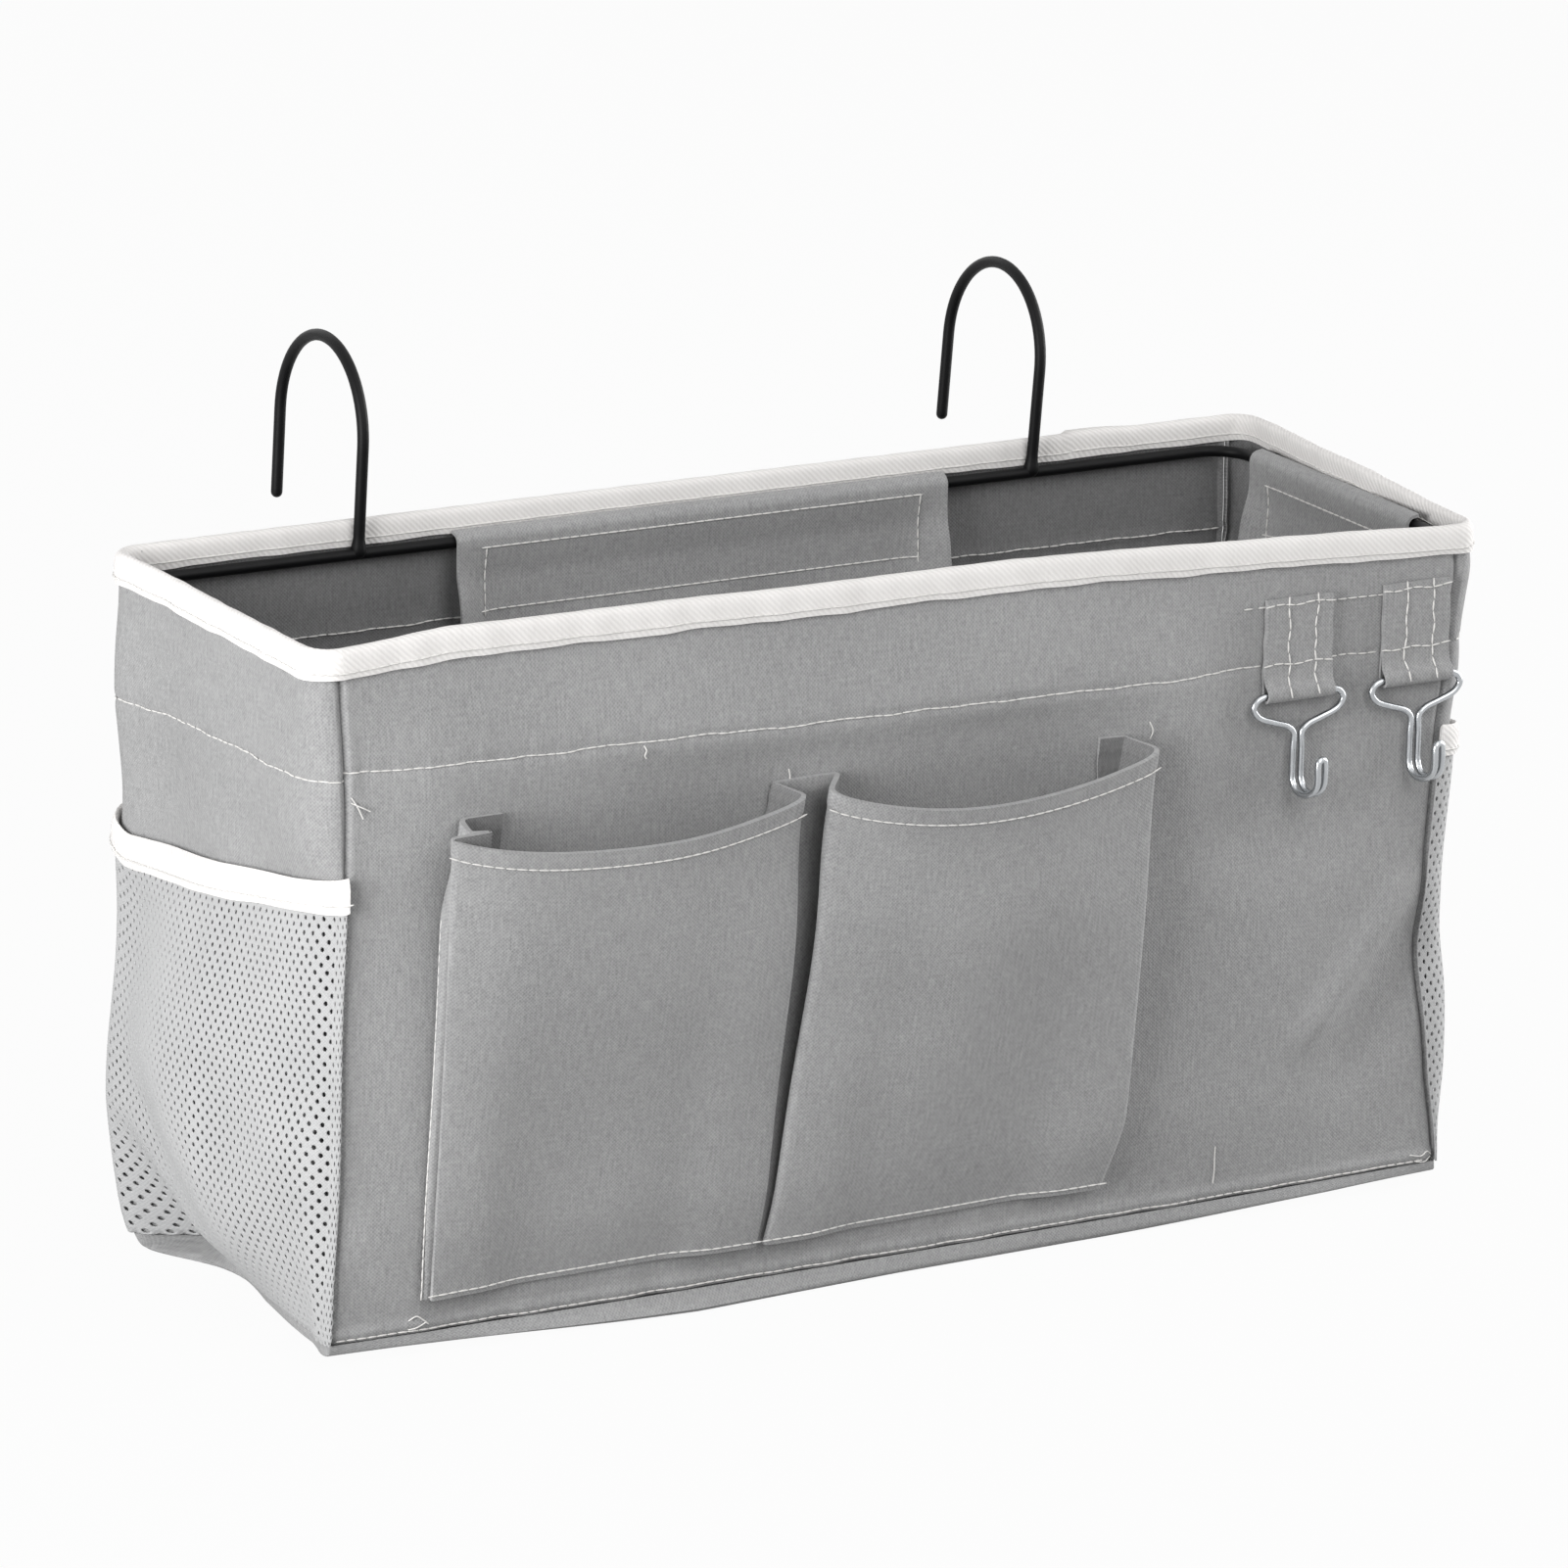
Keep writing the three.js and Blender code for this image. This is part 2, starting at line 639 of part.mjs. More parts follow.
function keyHook() {
  const half = keyHookHalf();
  const crown = [0, 2 * KEY_BEND, -(KEY_NECK_DROP + KEY_SHANK) + KEY_TIP + KEY_PAIR / 2];
  const mirrored = half.map(([x, out, z]) => [-x, out, z]).reverse();
  const twist = THREE.MathUtils.degToRad(KEY_TWIST);
  const points = [...half, crown, ...mirrored].map(([x, out, z]) => {
    const turn = twist * smooth(0, 2 * KEY_BEND, out);
    const px = x * Math.cos(turn) + out * Math.sin(turn);
    return new THREE.Vector3(px, x * Math.sin(turn) - out * Math.cos(turn), z);
  });
  const path = new THREE.CatmullRomCurve3(points, false, 'centripetal');
  return roundBar(path, KEY_WIRE, KEY_SIDES, KEY_STEPS);
}

// Assembly
const panelZ = (WALL_BOTTOM + WALL_TOP) / 2;
const panelY = (BODY_DEPTH - CLOTH) / 2;
add(caddy, 'base_panel', basePanel(), 'cloth');
add(caddy, 'front_panel', flatPanel(), 'cloth').position.set(0, -panelY, panelZ);
add(caddy, 'back_panel', flatPanel(), 'cloth').position.set(0, panelY, panelZ);
add(caddy, 'rim_binding', rimBinding(), 'tape');
add(caddy, 'wire_frame', wireFrame(), 'blackWire');
add(caddy, 'front_pocket_strip', frontPocketStrip(), 'cloth');

// The right side is the left one turned half round about the vertical axis
for (const [side, turn] of [['left', 0], ['right', Math.PI]]) {
  const wall = new THREE.Group();
  wall.rotation.z = turn;
  add(wall, `${side}_side_panel`, sidePanel(), 'cloth');
  add(wall, `${side}_mesh_pocket`, meshPocket(), 'net');
  add(wall, `${side}_mesh_binding`, meshBinding(), 'tape');
  caddy.add(wall);
}

for (const [side, sign, lean] of [['left', -1, LEFT_HOOK_LEAN], ['right', 1, RIGHT_HOOK_LEAN]]) {
  const hook = add(caddy, `${side}_hang_hook`, hangHook(), 'blackWire');
  hook.position.set((sign * HOOK_SPACING) / 2, BODY_DEPTH / 2 - FRAME_INSET, FRAME_Z);
  hook.rotation.y = THREE.MathUtils.degToRad(lean);
}

const frontWall = BODY_DEPTH / 2 - CLOTH;
const sideWall = BODY_WIDTH / 2 - CLOTH;
addFlap('front', LONG_FLAP, frontWall, 0);
addFlap('back', LONG_FLAP, frontWall, Math.PI);
addFlap('left', SHORT_FLAP, sideWall, -Math.PI / 2);
addFlap('right', SHORT_FLAP, sideWall, Math.PI / 2);

for (const [side, place] of [['left', 1], ['right', 0]]) {
  const x = BODY_WIDTH / 2 - TAB_FROM_RIGHT - place * TAB_PITCH;
  const face = -BODY_DEPTH / 2 - SEAM;
  add(caddy, `${side}_hook_tab`, hookTab(), 'cloth').position.set(x, face, 0);
  add(caddy, `${side}_key_hook`, keyHook(), 'zincWire').position.set(x, face - TAB_LOOP, KEY_AXIS_Z);
}

export default caddy;
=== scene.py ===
"""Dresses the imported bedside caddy: a cloth box on a wire ring, with pockets, nets, flaps and key hooks."""
from __future__ import annotations

import logging
import math
from dataclasses import dataclass, field
from enum import Enum
from typing import Any, Iterable, Sequence

import bpy
import numpy as np
from mathutils import Matrix, Vector

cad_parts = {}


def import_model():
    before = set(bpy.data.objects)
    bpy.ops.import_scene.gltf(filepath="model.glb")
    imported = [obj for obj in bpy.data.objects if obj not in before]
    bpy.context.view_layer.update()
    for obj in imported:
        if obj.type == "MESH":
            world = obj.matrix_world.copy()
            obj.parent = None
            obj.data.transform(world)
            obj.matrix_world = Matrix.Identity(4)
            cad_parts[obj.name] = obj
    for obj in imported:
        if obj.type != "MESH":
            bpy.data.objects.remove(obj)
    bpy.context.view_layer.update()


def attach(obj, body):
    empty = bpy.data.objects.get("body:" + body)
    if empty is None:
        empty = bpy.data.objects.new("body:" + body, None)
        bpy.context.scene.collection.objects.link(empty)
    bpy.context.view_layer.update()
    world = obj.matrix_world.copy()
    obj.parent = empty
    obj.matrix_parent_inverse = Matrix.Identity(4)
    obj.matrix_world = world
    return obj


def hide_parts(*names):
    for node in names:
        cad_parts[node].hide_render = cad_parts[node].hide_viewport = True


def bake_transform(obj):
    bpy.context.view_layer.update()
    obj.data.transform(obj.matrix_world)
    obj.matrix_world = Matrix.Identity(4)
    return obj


LOG = logging.getLogger("bedside_caddy")
MM = 0.001
UV = "UVMap"
# Flat positions of a cloth's inner side start this far along, so that its finish can tell the two sides apart
# and paint shade on the inner one
REVERSE_MM = 4000.0
# How many waves make a ripple, and how their lengths spread about the one that is asked for
RIPPLE_WAVES = 7
RIPPLE_SPREAD = (0.7, 1.6)
# Where a fold fades in and out, as shares of its length
FADE_IN = (-0.25, 0.15)
FADE_OUT = (1.25, 0.85)
# Angles of the rings that round off a wire's end, in degrees
DOME = (80.0, 60.0, 40.0, 20.0)
# Tone of a finish without a pattern, halfway from dark to light, and the strength of all relief
MEAN_TONE = 0.5
BUMP_STRENGTH = 0.7
# Shortest and longest stitch as shares of the usual one
STITCH_SPREAD = (0.88, 1.06)
Array = np.ndarray
Number = float | Array
Pair = tuple[float, float]
Triple = tuple[float, float, float]
Sockets = tuple[tuple[str, float], ...]
Feeds = dict[Any, Any]
Tree = bpy.types.NodeTree
Object = bpy.types.Object
Mesh = bpy.types.Mesh


class Slot(Enum):
    """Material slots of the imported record."""

    CLOTH = "grey_cloth"
    TAPE = "white_tape"
    NET = "white_net"
    STRIP = "closing_strip"
    BLACK = "black_wire"
    ZINC = "zinc_wire"


class Wall(Enum):
    """Walls of the box, each with the unit vector that points out of it."""

    FRONT = (0.0, -1.0)
    RIGHT = (1.0, 0.0)
    BACK = (0.0, 1.0)
    LEFT = (-1.0, 0.0)

    @property
    def label(self) -> str:
        """The wall's name in lower case."""
        return self.name.lower()

    @property
    def long(self) -> bool:
        """Whether it is one of the two long walls."""
        return self in (Wall.FRONT, Wall.BACK)


# Curves and fields

def together(*values: Number) -> Sequence[Array]:
    """Brings numbers and arrays to one shape, as real numbers."""
    return np.broadcast_arrays(*(np.asarray(value, float) for value in values))


def ease(start: float, end: float, value: Number) -> Array:
    """Rises smoothly from 0 at start to 1 at end.

    Args:
        start: Value where the rise begins.
        end: Value where it is complete, which may be below start.
        value: Where to read it.

    Returns:
        The share, with the shape of value.
    """
    share = np.clip((np.asarray(value, float) - start) / (end - start), 0.0, 1.0)
    return share * share * (3.0 - 2.0 * share)


def mound(value: Number, centre: float, width: float) -> Array:
    """A rounded bump of height 1 about centre.

    Args:
        value: Where to read it.
        centre: Place of its top.
        width: Distance over which it falls to about a third.

    Returns:
        The height, with the shape of value.
    """
    return np.exp(-(((np.asarray(value, float) - centre) / width) ** 2))


def ripple(first: Number, second: Number, wave: float, seed: int) -> Array:
    """Soft irregular waves, the same in every run.

    Args:
        first: First coordinate in mm.
        second: Second coordinate in mm.
        wave: Typical wave length in mm.
        seed: Seed of the wave directions.

    Returns:
        Heights between about -1 and 1.
    """
    chance = np.random.default_rng(seed)
    first, second = together(first, second)
    total = np.zeros(first.shape)
    for _ in range(RIPPLE_WAVES):
        heading, phase = chance.uniform(0.0, 2.0 * math.pi, 2)
        length = wave * chance.uniform(*RIPPLE_SPREAD)
        along = first * math.cos(heading) + second * math.sin(heading)
        total += np.sin(2.0 * math.pi * along / length + phase)
    return total / (0.5 * RIPPLE_WAVES)


@dataclass(frozen=True)
class Fold:
    """A soft fold along a straight line that fades at its ends: its height, ends and half width in mm."""

    height: float
    start: Pair
    end: Pair
    width: float

    def lift(self, first: Array, second: Array) -> Array:
        """Gives how far the fold lifts the cloth.

        Args:
            first: First coordinate in mm.
            second: Second coordinate in mm.

        Returns:
            The distance in mm.
        """
        start = np.asarray(self.start, float)
        run = np.asarray(self.end, float) - start
        size = float(np.hypot(*run))
        along = ((first - start[0]) * run[0] + (second - start[1]) * run[1]) / size ** 2
        across = ((first - start[0]) * run[1] - (second - start[1]) * run[0]) / size
        return self.height * (mound(across, 0.0, self.width) * ease(*FADE_IN, along) * ease(*FADE_OUT, along))


def spaced(start: float, end: float, step: float, fine: float, margin: float) -> Array:
    """Positions that lie closer together near both ends.

    Args:
        start: First position.
        end: Last position.
        step: Spacing in the middle.
        fine: Spacing within margin of each end.
        margin: Length of each fine stretch.

    Returns:
        Rising positions.
    """
    low = np.linspace(start, start + margin, max(2, round(margin / fine)) + 1)
    high = np.linspace(end - margin, end, max(2, round(margin / fine)) + 1)
    middle = np.linspace(start + margin, end - margin, max(2, round((end - start - 2 * margin) / step)) + 1)
    return np.concatenate([low[:-1], middle[:-1], high])


def between(where: float, low: float, high: float, first: Array, second: Array) -> Array:
    """Weighs two points by where a place lies from low to high."""
    return ((high - where) * first + (where - low) * second) / (high - low)


def rounded_path(points: Iterable[Sequence[float]], count: int) -> Array:
    """Samples a centripetal Catmull-Rom curve through points.

    Args:
        points: Points that the curve passes, in order.
        count: Number of samples.

    Returns:
        The samples, evenly spread over the spans.
    """
    given = np.asarray(list(points), float)
    knots = np.vstack([2 * given[0] - given[1], given, 2 * given[-1] - given[-2]])
    times = np.concatenate([[0.0], np.cumsum(np.sqrt(np.linalg.norm(np.diff(knots, axis=0), axis=1)))])
    made = []
    for where in np.linspace(times[1], times[-2], count):
        span = int(np.clip(np.searchsorted(times, where, side="right") - 1, 1, len(knots) - 3))
        t = times[span - 1:span + 3]
        p = knots[span - 1:span + 3]
        first = [between(where, t[i], t[i + 1], p[i], p[i + 1]) for i in range(3)]
        second = [between(where, t[i], t[i + 2], first[i], first[i + 1]) for i in range(2)]
        made.append(between(where, t[1], t[2], *second))
    return np.asarray(made)


def lengths(points: Array) -> Array:
    """Gives the distance of each point of a line from its first one, along the line."""
    return np.concatenate([[0.0], np.cumsum(np.linalg.norm(np.diff(points, axis=0), axis=1))])


def directions(points: Array, axis: int, closed: bool) -> Array:
    """Gives the way on from each point of a line.

    Args:
        points: Rows of points.
        axis: Axis along which the points follow each other.
        closed: Whether the line is a ring.

    Returns:
        Vectors of any length.
    """
    if closed:
        return np.roll(points, -1, axis=axis) - np.roll(points, 1, axis=axis)
    return np.gradient(points, axis=axis)


def smoothed(values: Array, rounds: int = 3) -> Array:
    """Evens out a line of values whose ends are held."""
    made = values.copy()
    for _ in range(rounds):
        made[1:-1] = 0.25 * made[:-2] + 0.5 * made[1:-1] + 0.25 * made[2:]
    return made


def stretches(chosen: Array) -> list[Array]:
    """Gives the numbers of the chosen places, one array for each unbroken stretch."""
    places = np.flatnonzero(chosen)
    return np.split(places, np.flatnonzero(np.diff(places) > 1) + 1)


def flat_grid(columns: Array, rows: Array) -> Array:
    """Gives the flat positions of a cloth's grid from those of its columns and rows."""
    return np.stack(np.meshgrid(columns, rows), axis=-1)


# Meshes

def new_object(name: str, mesh: Mesh) -> Object:
    """Puts a mesh in the scene as an object at the origin.

    Args:
        name: Name of the object.
        mesh: Its mesh, in metres.

    Returns:
        The object.
    """
    made = bpy.data.objects.new(name, mesh)
    bpy.context.scene.collection.objects.link(made)
    return made


def mesh_object(
    name: str, points: Array, faces: list[list[int]], corners: Array, sharp: float = 60.0
) -> Object:
    """Makes a smooth-shaded mesh object.

    Args:
        name: Name of the object.
        points: Vertices in mm.
        faces: Vertex numbers of each face.
        corners: Flat position in mm of each face corner, in the order of faces.
        sharp: Angle in degrees above which an edge stays sharp.

    Returns:
        The object.
    """
    mesh = bpy.data.meshes.new(name)
    mesh.from_pydata((np.asarray(points) * MM).tolist(), [], faces)
    layer = mesh.uv_layers.new(name=UV)
    layer.data.foreach_set("uv", (np.asarray(corners, np.float32) * MM).ravel())
    mesh.polygons.foreach_set("use_smooth", [True] * len(mesh.polygons))
    mesh.set_sharp_from_angle(angle=math.radians(sharp))
    mesh.update()
    return new_object(name, mesh)


def cloth_object(
    name: str, grid: Array, flat: Array, thick: Number, bias: float = 0.0, closed: bool = False
) -> Object:
    """Makes a closed cloth of real thickness from a grid of points.

    Its outer side faces along the cross product of the way from column to column and from row to row.

    Args:
        name: Name of the object.
        grid: Rows by columns of points in mm.
        flat: Rows by columns of flat positions in mm, with one column more where the cloth is closed.
        thick: Thickness in mm, one number or one for each point.
        bias: Share of the thickness that lies outside the grid.
        closed: Whether the columns form a ring.

    Returns:
        The object.
    """
    rows, columns = grid.shape[:2]
    normal = np.cross(directions(grid, 1, closed), np.gradient(grid, axis=0))
    normal /= np.maximum(np.linalg.norm(normal, axis=2, keepdims=True), 1e-9)
    depth = np.broadcast_to(np.asarray(thick, float), (rows, columns))[..., None]
    outer = grid + normal * depth * bias
    inner = grid - normal * depth * (1.0 - bias)
    points = np.concatenate([outer.reshape(-1, 3), inner.reshape(-1, 3)])
    spans = columns if closed else columns - 1
    quads: list[list[tuple[int, int, int]]] = []
    for r in range(rows - 1):
        for c in range(spans):
            quads.append([(r, c, 0), (r, c + 1, 0), (r + 1, c + 1, 0), (r + 1, c, 0)])
            quads.append([(r, c, 1), (r + 1, c, 1), (r + 1, c + 1, 1), (r, c + 1, 1)])
    last = rows - 1
    for c in range(spans):
        quads.append([(0, c + 1, 0), (0, c, 0), (0, c, 1), (0, c + 1, 1)])
        quads.append([(last, c, 0), (last, c + 1, 0), (last, c + 1, 1), (last, c, 1)])
    if not closed:
        end = columns - 1
        for r in range(rows - 1):
            quads.append([(r, 0, 0), (r + 1, 0, 0), (r + 1, 0, 1), (r, 0, 1)])
            quads.append([(r + 1, end, 0), (r, end, 0), (r, end, 1), (r + 1, end, 1)])
    marks = np.asarray(quads)
    numbers = marks[..., 2] * rows * columns + marks[..., 0] * columns + marks[..., 1] % columns
    corners = flat[marks[..., 0], marks[..., 1]]
    corners[..., 0] += np.where(marks[..., 2].min(axis=1) == 1, REVERSE_MM, 0.0)[:, None]
    return mesh_object(name, points, numbers.tolist(), corners.reshape(-1, 2))


def wire_object(name: str, path: Array, radius: Number, sides: int = 16, closed: bool = False) -> Object:
    """Makes a round wire along a path, with domed ends.

    Args:
        name: Name of the object.
        path: Points of the middle line in mm.
        radius: Radius in mm, one number or one for each point.
        sides: Number of sides of the round.
        closed: Whether the path is a ring.

    Returns:
        The object.
    """
    line = np.asarray(path, float)
    widths = np.broadcast_to(np.asarray(radius, float), (len(line),)).copy()
    headings = directions(line, 0, closed)
    headings /= np.linalg.norm(headings, axis=1, keepdims=True)
    if not closed:
        bend = np.radians(DOME)
        start = line[0] - headings[0] * widths[0] * np.sin(bend)[:, None]
        end = line[-1] + headings[-1] * widths[-1] * np.sin(bend[::-1])[:, None]
        tip = np.cos(bend)
        widths = np.concatenate([widths[0] * tip, widths, widths[-1] * tip[::-1]])
        line = np.vstack([start, line, end])
        first, last = (np.repeat(headings[k:][:1], len(DOME), 0) for k in (0, -1))
        headings = np.vstack([first, headings, last])
    side = np.cross(headings[0], (0.0, 0.0, 1.0))
    if np.linalg.norm(side) < 0.1:
        side = np.cross(headings[0], (0.0, 1.0, 0.0))
    frames = []
    for heading in headings:
        side = side - heading * float(side @ heading)
        side = side / np.linalg.norm(side)
        frames.append((side, np.cross(heading, side)))
    angles = np.arange(sides) * 2.0 * math.pi / sides
    rings = [
        point + width * (np.cos(angles)[:, None] * first + np.sin(angles)[:, None] * second)
        for point, width, (first, second) in zip(line, widths, frames)
    ]
    points = np.concatenate(rings)
    count = len(line)
    run = np.concatenate([lengths(line), [lengths(line)[-1] + float(np.linalg.norm(line[-1] - line[0]))]])
    round_length = 2.0 * math.pi * float(np.max(widths))
    faces: list[list[int]] = []
    corners: list[tuple[float, float]] = []
    for r in range(count if closed else count - 1):
        for s in range(sides):
            marks = [(r, s), (r, s + 1), (r + 1, s + 1), (r + 1, s)]
            faces.append([(a % count) * sides + b % sides for a, b in marks])
            corners.extend((run[a], b / sides * round_length) for a, b in marks)
    if not closed:
        faces.append(list(range(sides))[::-1])
        faces.append([(count - 1) * sides + s for s in range(sides)])
        corners.extend([(0.0, 0.0)] * sides + [(run[count - 1], 0.0)] * sides)
    return mesh_object(name, points, faces, np.asarray(corners))


# Nodes

def add_node(tree: Tree, kind: str, feeds: Feeds | None = None, **settings: Any) -> Any:
    """Adds a node, with its settings and what feeds its inputs.

    Args:
        tree: Node tree to add to.
        kind: Type of the node.
        feeds: Input name or number, with the value, the output socket or the node that feeds it.
        settings: Properties of the node.

    Returns:
        The node.
    """
    made = tree.nodes.new(kind)
    for key, value in settings.items():
        setattr(made, key, value)
    for key, value in (feeds or {}).items():
        source = value.outputs[0] if isinstance(value, bpy.types.Node) else value
        if isinstance(source, bpy.types.NodeSocket):
            tree.links.new(source, made.inputs[key])
        else:
            made.inputs[key].default_value = source
    return made


def maths(tree: Tree, operation: str, *terms: Any) -> Any:
    """Adds a maths node on numbers, output sockets or nodes, and gives its output socket."""
    return add_node(tree, "ShaderNodeMath", dict(enumerate(terms)), operation=operation).outputs[0]


def emptied(owner: bpy.types.Material | bpy.types.World) -> Tree:
    """Gives the node tree of a material or a world, with nothing in it."""
    owner.use_nodes = True
    owner.node_tree.nodes.clear()
    return owner.node_tree


def linear(shade: str) -> tuple[float, float, float, float]:
    """Turns an sRGB hex colour into linear values.

    Args:
        shade: Colour such as "#8f8f90".

    Returns:
        Red, green, blue and an alpha of 1.
    """
    parts = [int(shade[i:i + 2], 16) / 255.0 for i in (1, 3, 5)]
    red, green, blue = (c / 12.92 if c <= 0.04045 else ((c + 0.055) / 1.055) ** 2.4 for c in parts)
    return red, green, blue, 1.0


def blank_material(name: str) -> tuple[bpy.types.Material, Tree, Any]:
    """Starts a material with one principled shader.

    Args:
        name: Name of the material.

    Returns:
        The material, its node tree and the shader node.
    """
    material = bpy.data.materials.new(name)
    tree = emptied(material)
    shader = add_node(tree, "ShaderNodeBsdfPrincipled")
    add_node(tree, "ShaderNodeOutputMaterial", {"Surface": shader})
    return material, tree, shader


@dataclass(frozen=True)
class Grain:
    """One layer of irregular tone: its size along both directions in mm and how much it counts."""

    across_mm: float
    along_mm: float
    weight: float
    detail: float = 2.0


@dataclass(frozen=True)
class Finish:
    """What all finishes share: two tones, grains between them, roughness, relief and plain shader inputs."""

    name: str
    dark: str
    light: str
    grains: tuple[Grain, ...]
    rough: float
    rough_spread: float
    relief_mm: float
    follows_cloth: bool = True
    sockets: Sockets = (("Specular IOR Level", 0.25),)

    def place(self, tree: Tree) -> Any:
        """Gives the coordinates that the pattern follows, in metres.

        Args:
            tree: The material's node tree.

        Returns:
            An output socket.
        """
        if self.follows_cloth:
            return add_node(tree, "ShaderNodeUVMap", uv_map=UV).outputs[0]
        return add_node(tree, "ShaderNodeTexCoord").outputs["Object"]

    def pattern(self, tree: Tree, place: Any) -> Any:
        """Gives the regular pattern, from 0 to 1, which is one tone for a plain surface.

        Args:
            tree: The material's node tree.
            place: Coordinates in metres.

        Returns:
            An output socket.
        """
        tone = add_node(tree, "ShaderNodeValue").outputs[0]
        tone.default_value = MEAN_TONE
        return tone

    def sided(self, tree: Tree, place: Any, colour: Any) -> Any:
        """Gives the colour with what differs on the cloth's inner side, such as painted shade, as an output
        socket.
        """
        return colour

    def wave(self, tree: Tree, value: Any, wave_mm: float) -> Any:
        """Gives a sine along one coordinate in metres, as an output socket."""
        return maths(tree, "SINE", maths(tree, "MULTIPLY", value, 2.0 * math.pi / (wave_mm * MM)))

    def build(self) -> bpy.types.Material:
        """Makes the material.

        Returns:
            The material.
        """
        material, tree, shader = blank_material(self.name)
        place = self.place(tree)
        tone = self.pattern(tree, place)
        for grain in self.grains:
            scale = tuple(1.0 / (size * MM) for size in (grain.across_mm, grain.along_mm, grain.across_mm))
            moved = add_node(tree, "ShaderNodeMapping", {0: place, 3: scale})
            noise = {"Vector": moved, "Scale": 1.0, "Detail": grain.detail}
            cloud = add_node(tree, "ShaderNodeTexNoise", noise)
            centred = maths(tree, "SUBTRACT", cloud, MEAN_TONE)
            tone = maths(tree, "MULTIPLY_ADD", centred, grain.weight, tone)
        held = add_node(tree, "ShaderNodeClamp", {0: tone})
        tones = {0: held, 6: linear(self.dark), 7: linear(self.light)}
        colour = add_node(tree, "ShaderNodeMix", tones, data_type="RGBA").outputs[2]
        ends = {0: held, 3: self.rough + self.rough_spread, 4: self.rough - self.rough_spread}
        rough = add_node(tree, "ShaderNodeMapRange", ends)
        relief = {"Height": held, "Strength": BUMP_STRENGTH, "Distance": self.relief_mm * MM}
        bump = add_node(tree, "ShaderNodeBump", relief)
        tree.links.new(self.sided(tree, place, colour), shader.inputs["Base Color"])
        tree.links.new(rough.outputs[0], shader.inputs["Roughness"])
        tree.links.new(bump.outputs[0], shader.inputs["Normal"])
        for socket, value in self.sockets:
            shader.inputs[socket].default_value = value
        return material


@dataclass(frozen=True)
class WovenCloth(Finish):
    """Plain woven polyester cloth: crossing threads, streaks of thicker yarn and a bloom of loose fibres."""

    sockets: Sockets = (("Specular IOR Level", 0.2), ("Sheen Weight", 0.12), ("Sheen Roughness", 0.5))
    thread_mm: float = 1.1
    thread_depth: float = 0.16
    # Share of the colour kept on the inner side; below 1 it paints shade there
    inner_painted_shade: float = 1.0

    def sided(self, tree: Tree, place: Any, colour: Any) -> Any:
        """Darkens the cloth's inner side: painted shade for the shaded inside of the box."""
        axes = add_node(tree, "ShaderNodeSeparateXYZ", {0: place})
        behind = maths(tree, "GREATER_THAN", axes, 0.5 * REVERSE_MM * MM)
        shade = add_node(tree, "ShaderNodeMapRange", {0: behind, 3: 1.0, 4: self.inner_painted_shade})
        return add_node(tree, "ShaderNodeVectorMath", {0: colour, 3: shade}, operation="SCALE").outputs[0]

    def pattern(self, tree: Tree, place: Any) -> Any:
        """Gives the over-and-under of the threads."""
        axes = add_node(tree, "ShaderNodeSeparateXYZ", {0: place})
        warp, weft = (self.wave(tree, axes.outputs[i], self.thread_mm) for i in (0, 1))
        return maths(tree, "MULTIPLY_ADD", maths(tree, "MULTIPLY", warp, weft), self.thread_depth, MEAN_TONE)


@dataclass(frozen=True)
class TwillTape(Finish):
    """Woven twill tape: slanted ribs that catch the light, and a soft bloom."""

    sockets: Sockets = (("Specular IOR Level", 0.2), ("Sheen Weight", 0.1))
    rib_mm: float = 1.9
    rib_depth: float = 0.16
    rib_tone: float = 0.62

    def pattern(self, tree: Tree, place: Any) -> Any:
        """Gives the slanted ribs."""
        axes = add_node(tree, "ShaderNodeSeparateXYZ", {0: place})
        slant = maths(tree, "ADD", axes.outputs[0], axes.outputs[1])
        return maths(tree, "MULTIPLY_ADD", self.wave(tree, slant, self.rib_mm), self.rib_depth, self.rib_tone)


# Woven polyester shows crossing threads and thick yarns; its threads of 0.5 mm are drawn at 1.1 mm to show
# Its inner side keeps 0.6 of its colour: painted shade for the shaded inside of the box
CLOTH = WovenCloth(
    "grey_oxford_cloth", "#747475", "#b5b5b5",
    (Grain(0.7, 6.0, 0.55), Grain(5.0, 0.7, 0.28), Grain(1.2, 1.2, 0.5), Grain(60.0, 60.0, 0.25)),
    0.88, 0.07, 0.3, inner_painted_shade=0.6,
)
# Cotton twill shows slanted ribs and takes a little dust; ribs of 1 mm are drawn at 1.9 mm to show
TAPE = TwillTape(
    "white_twill_tape", "#cbc8c6", "#efedeb",
    (Grain(0.8, 5.0, 0.3), Grain(25.0, 25.0, 0.45)),
    0.86, 0.06, 0.4,
)
# Knitted polyester net shows small loops along its strands
NET = WovenCloth(
    "white_knitted_net", "#9a9b9c", "#c4c4c4",
    (Grain(0.7, 0.7, 0.5), Grain(30.0, 30.0, 0.35)),
    0.8, 0.06, 0.25, thread_mm=0.9,
)
# Spun polyester thread is bright and slightly fluffy
THREAD = Finish(
    "white_spun_thread", "#c4c3c1", "#eceae7", (Grain(0.35, 0.35, 0.9),), 0.7, 0.1, 0.1, follows_cloth=False
)
# Woven nylon closing tape is dull, with a fibrous face
STRIP = WovenCloth(
    "grey_closing_tape", "#3f4042", "#616264",
    (Grain(0.6, 0.6, 0.7), Grain(12.0, 12.0, 0.3)),
    0.82, 0.08, 0.2, thread_mm=0.9,
)
# Black powder coat on steel wire has half a gloss and a fine orange-peel grain
BLACK = Finish(
    "black_powder_coat", "#040405", "#111112",
    (Grain(0.5, 0.5, 0.5), Grain(8.0, 8.0, 0.6)),
    0.48, 0.1, 0.03, follows_cloth=False, sockets=(("Specular IOR Level", 0.14),),
)
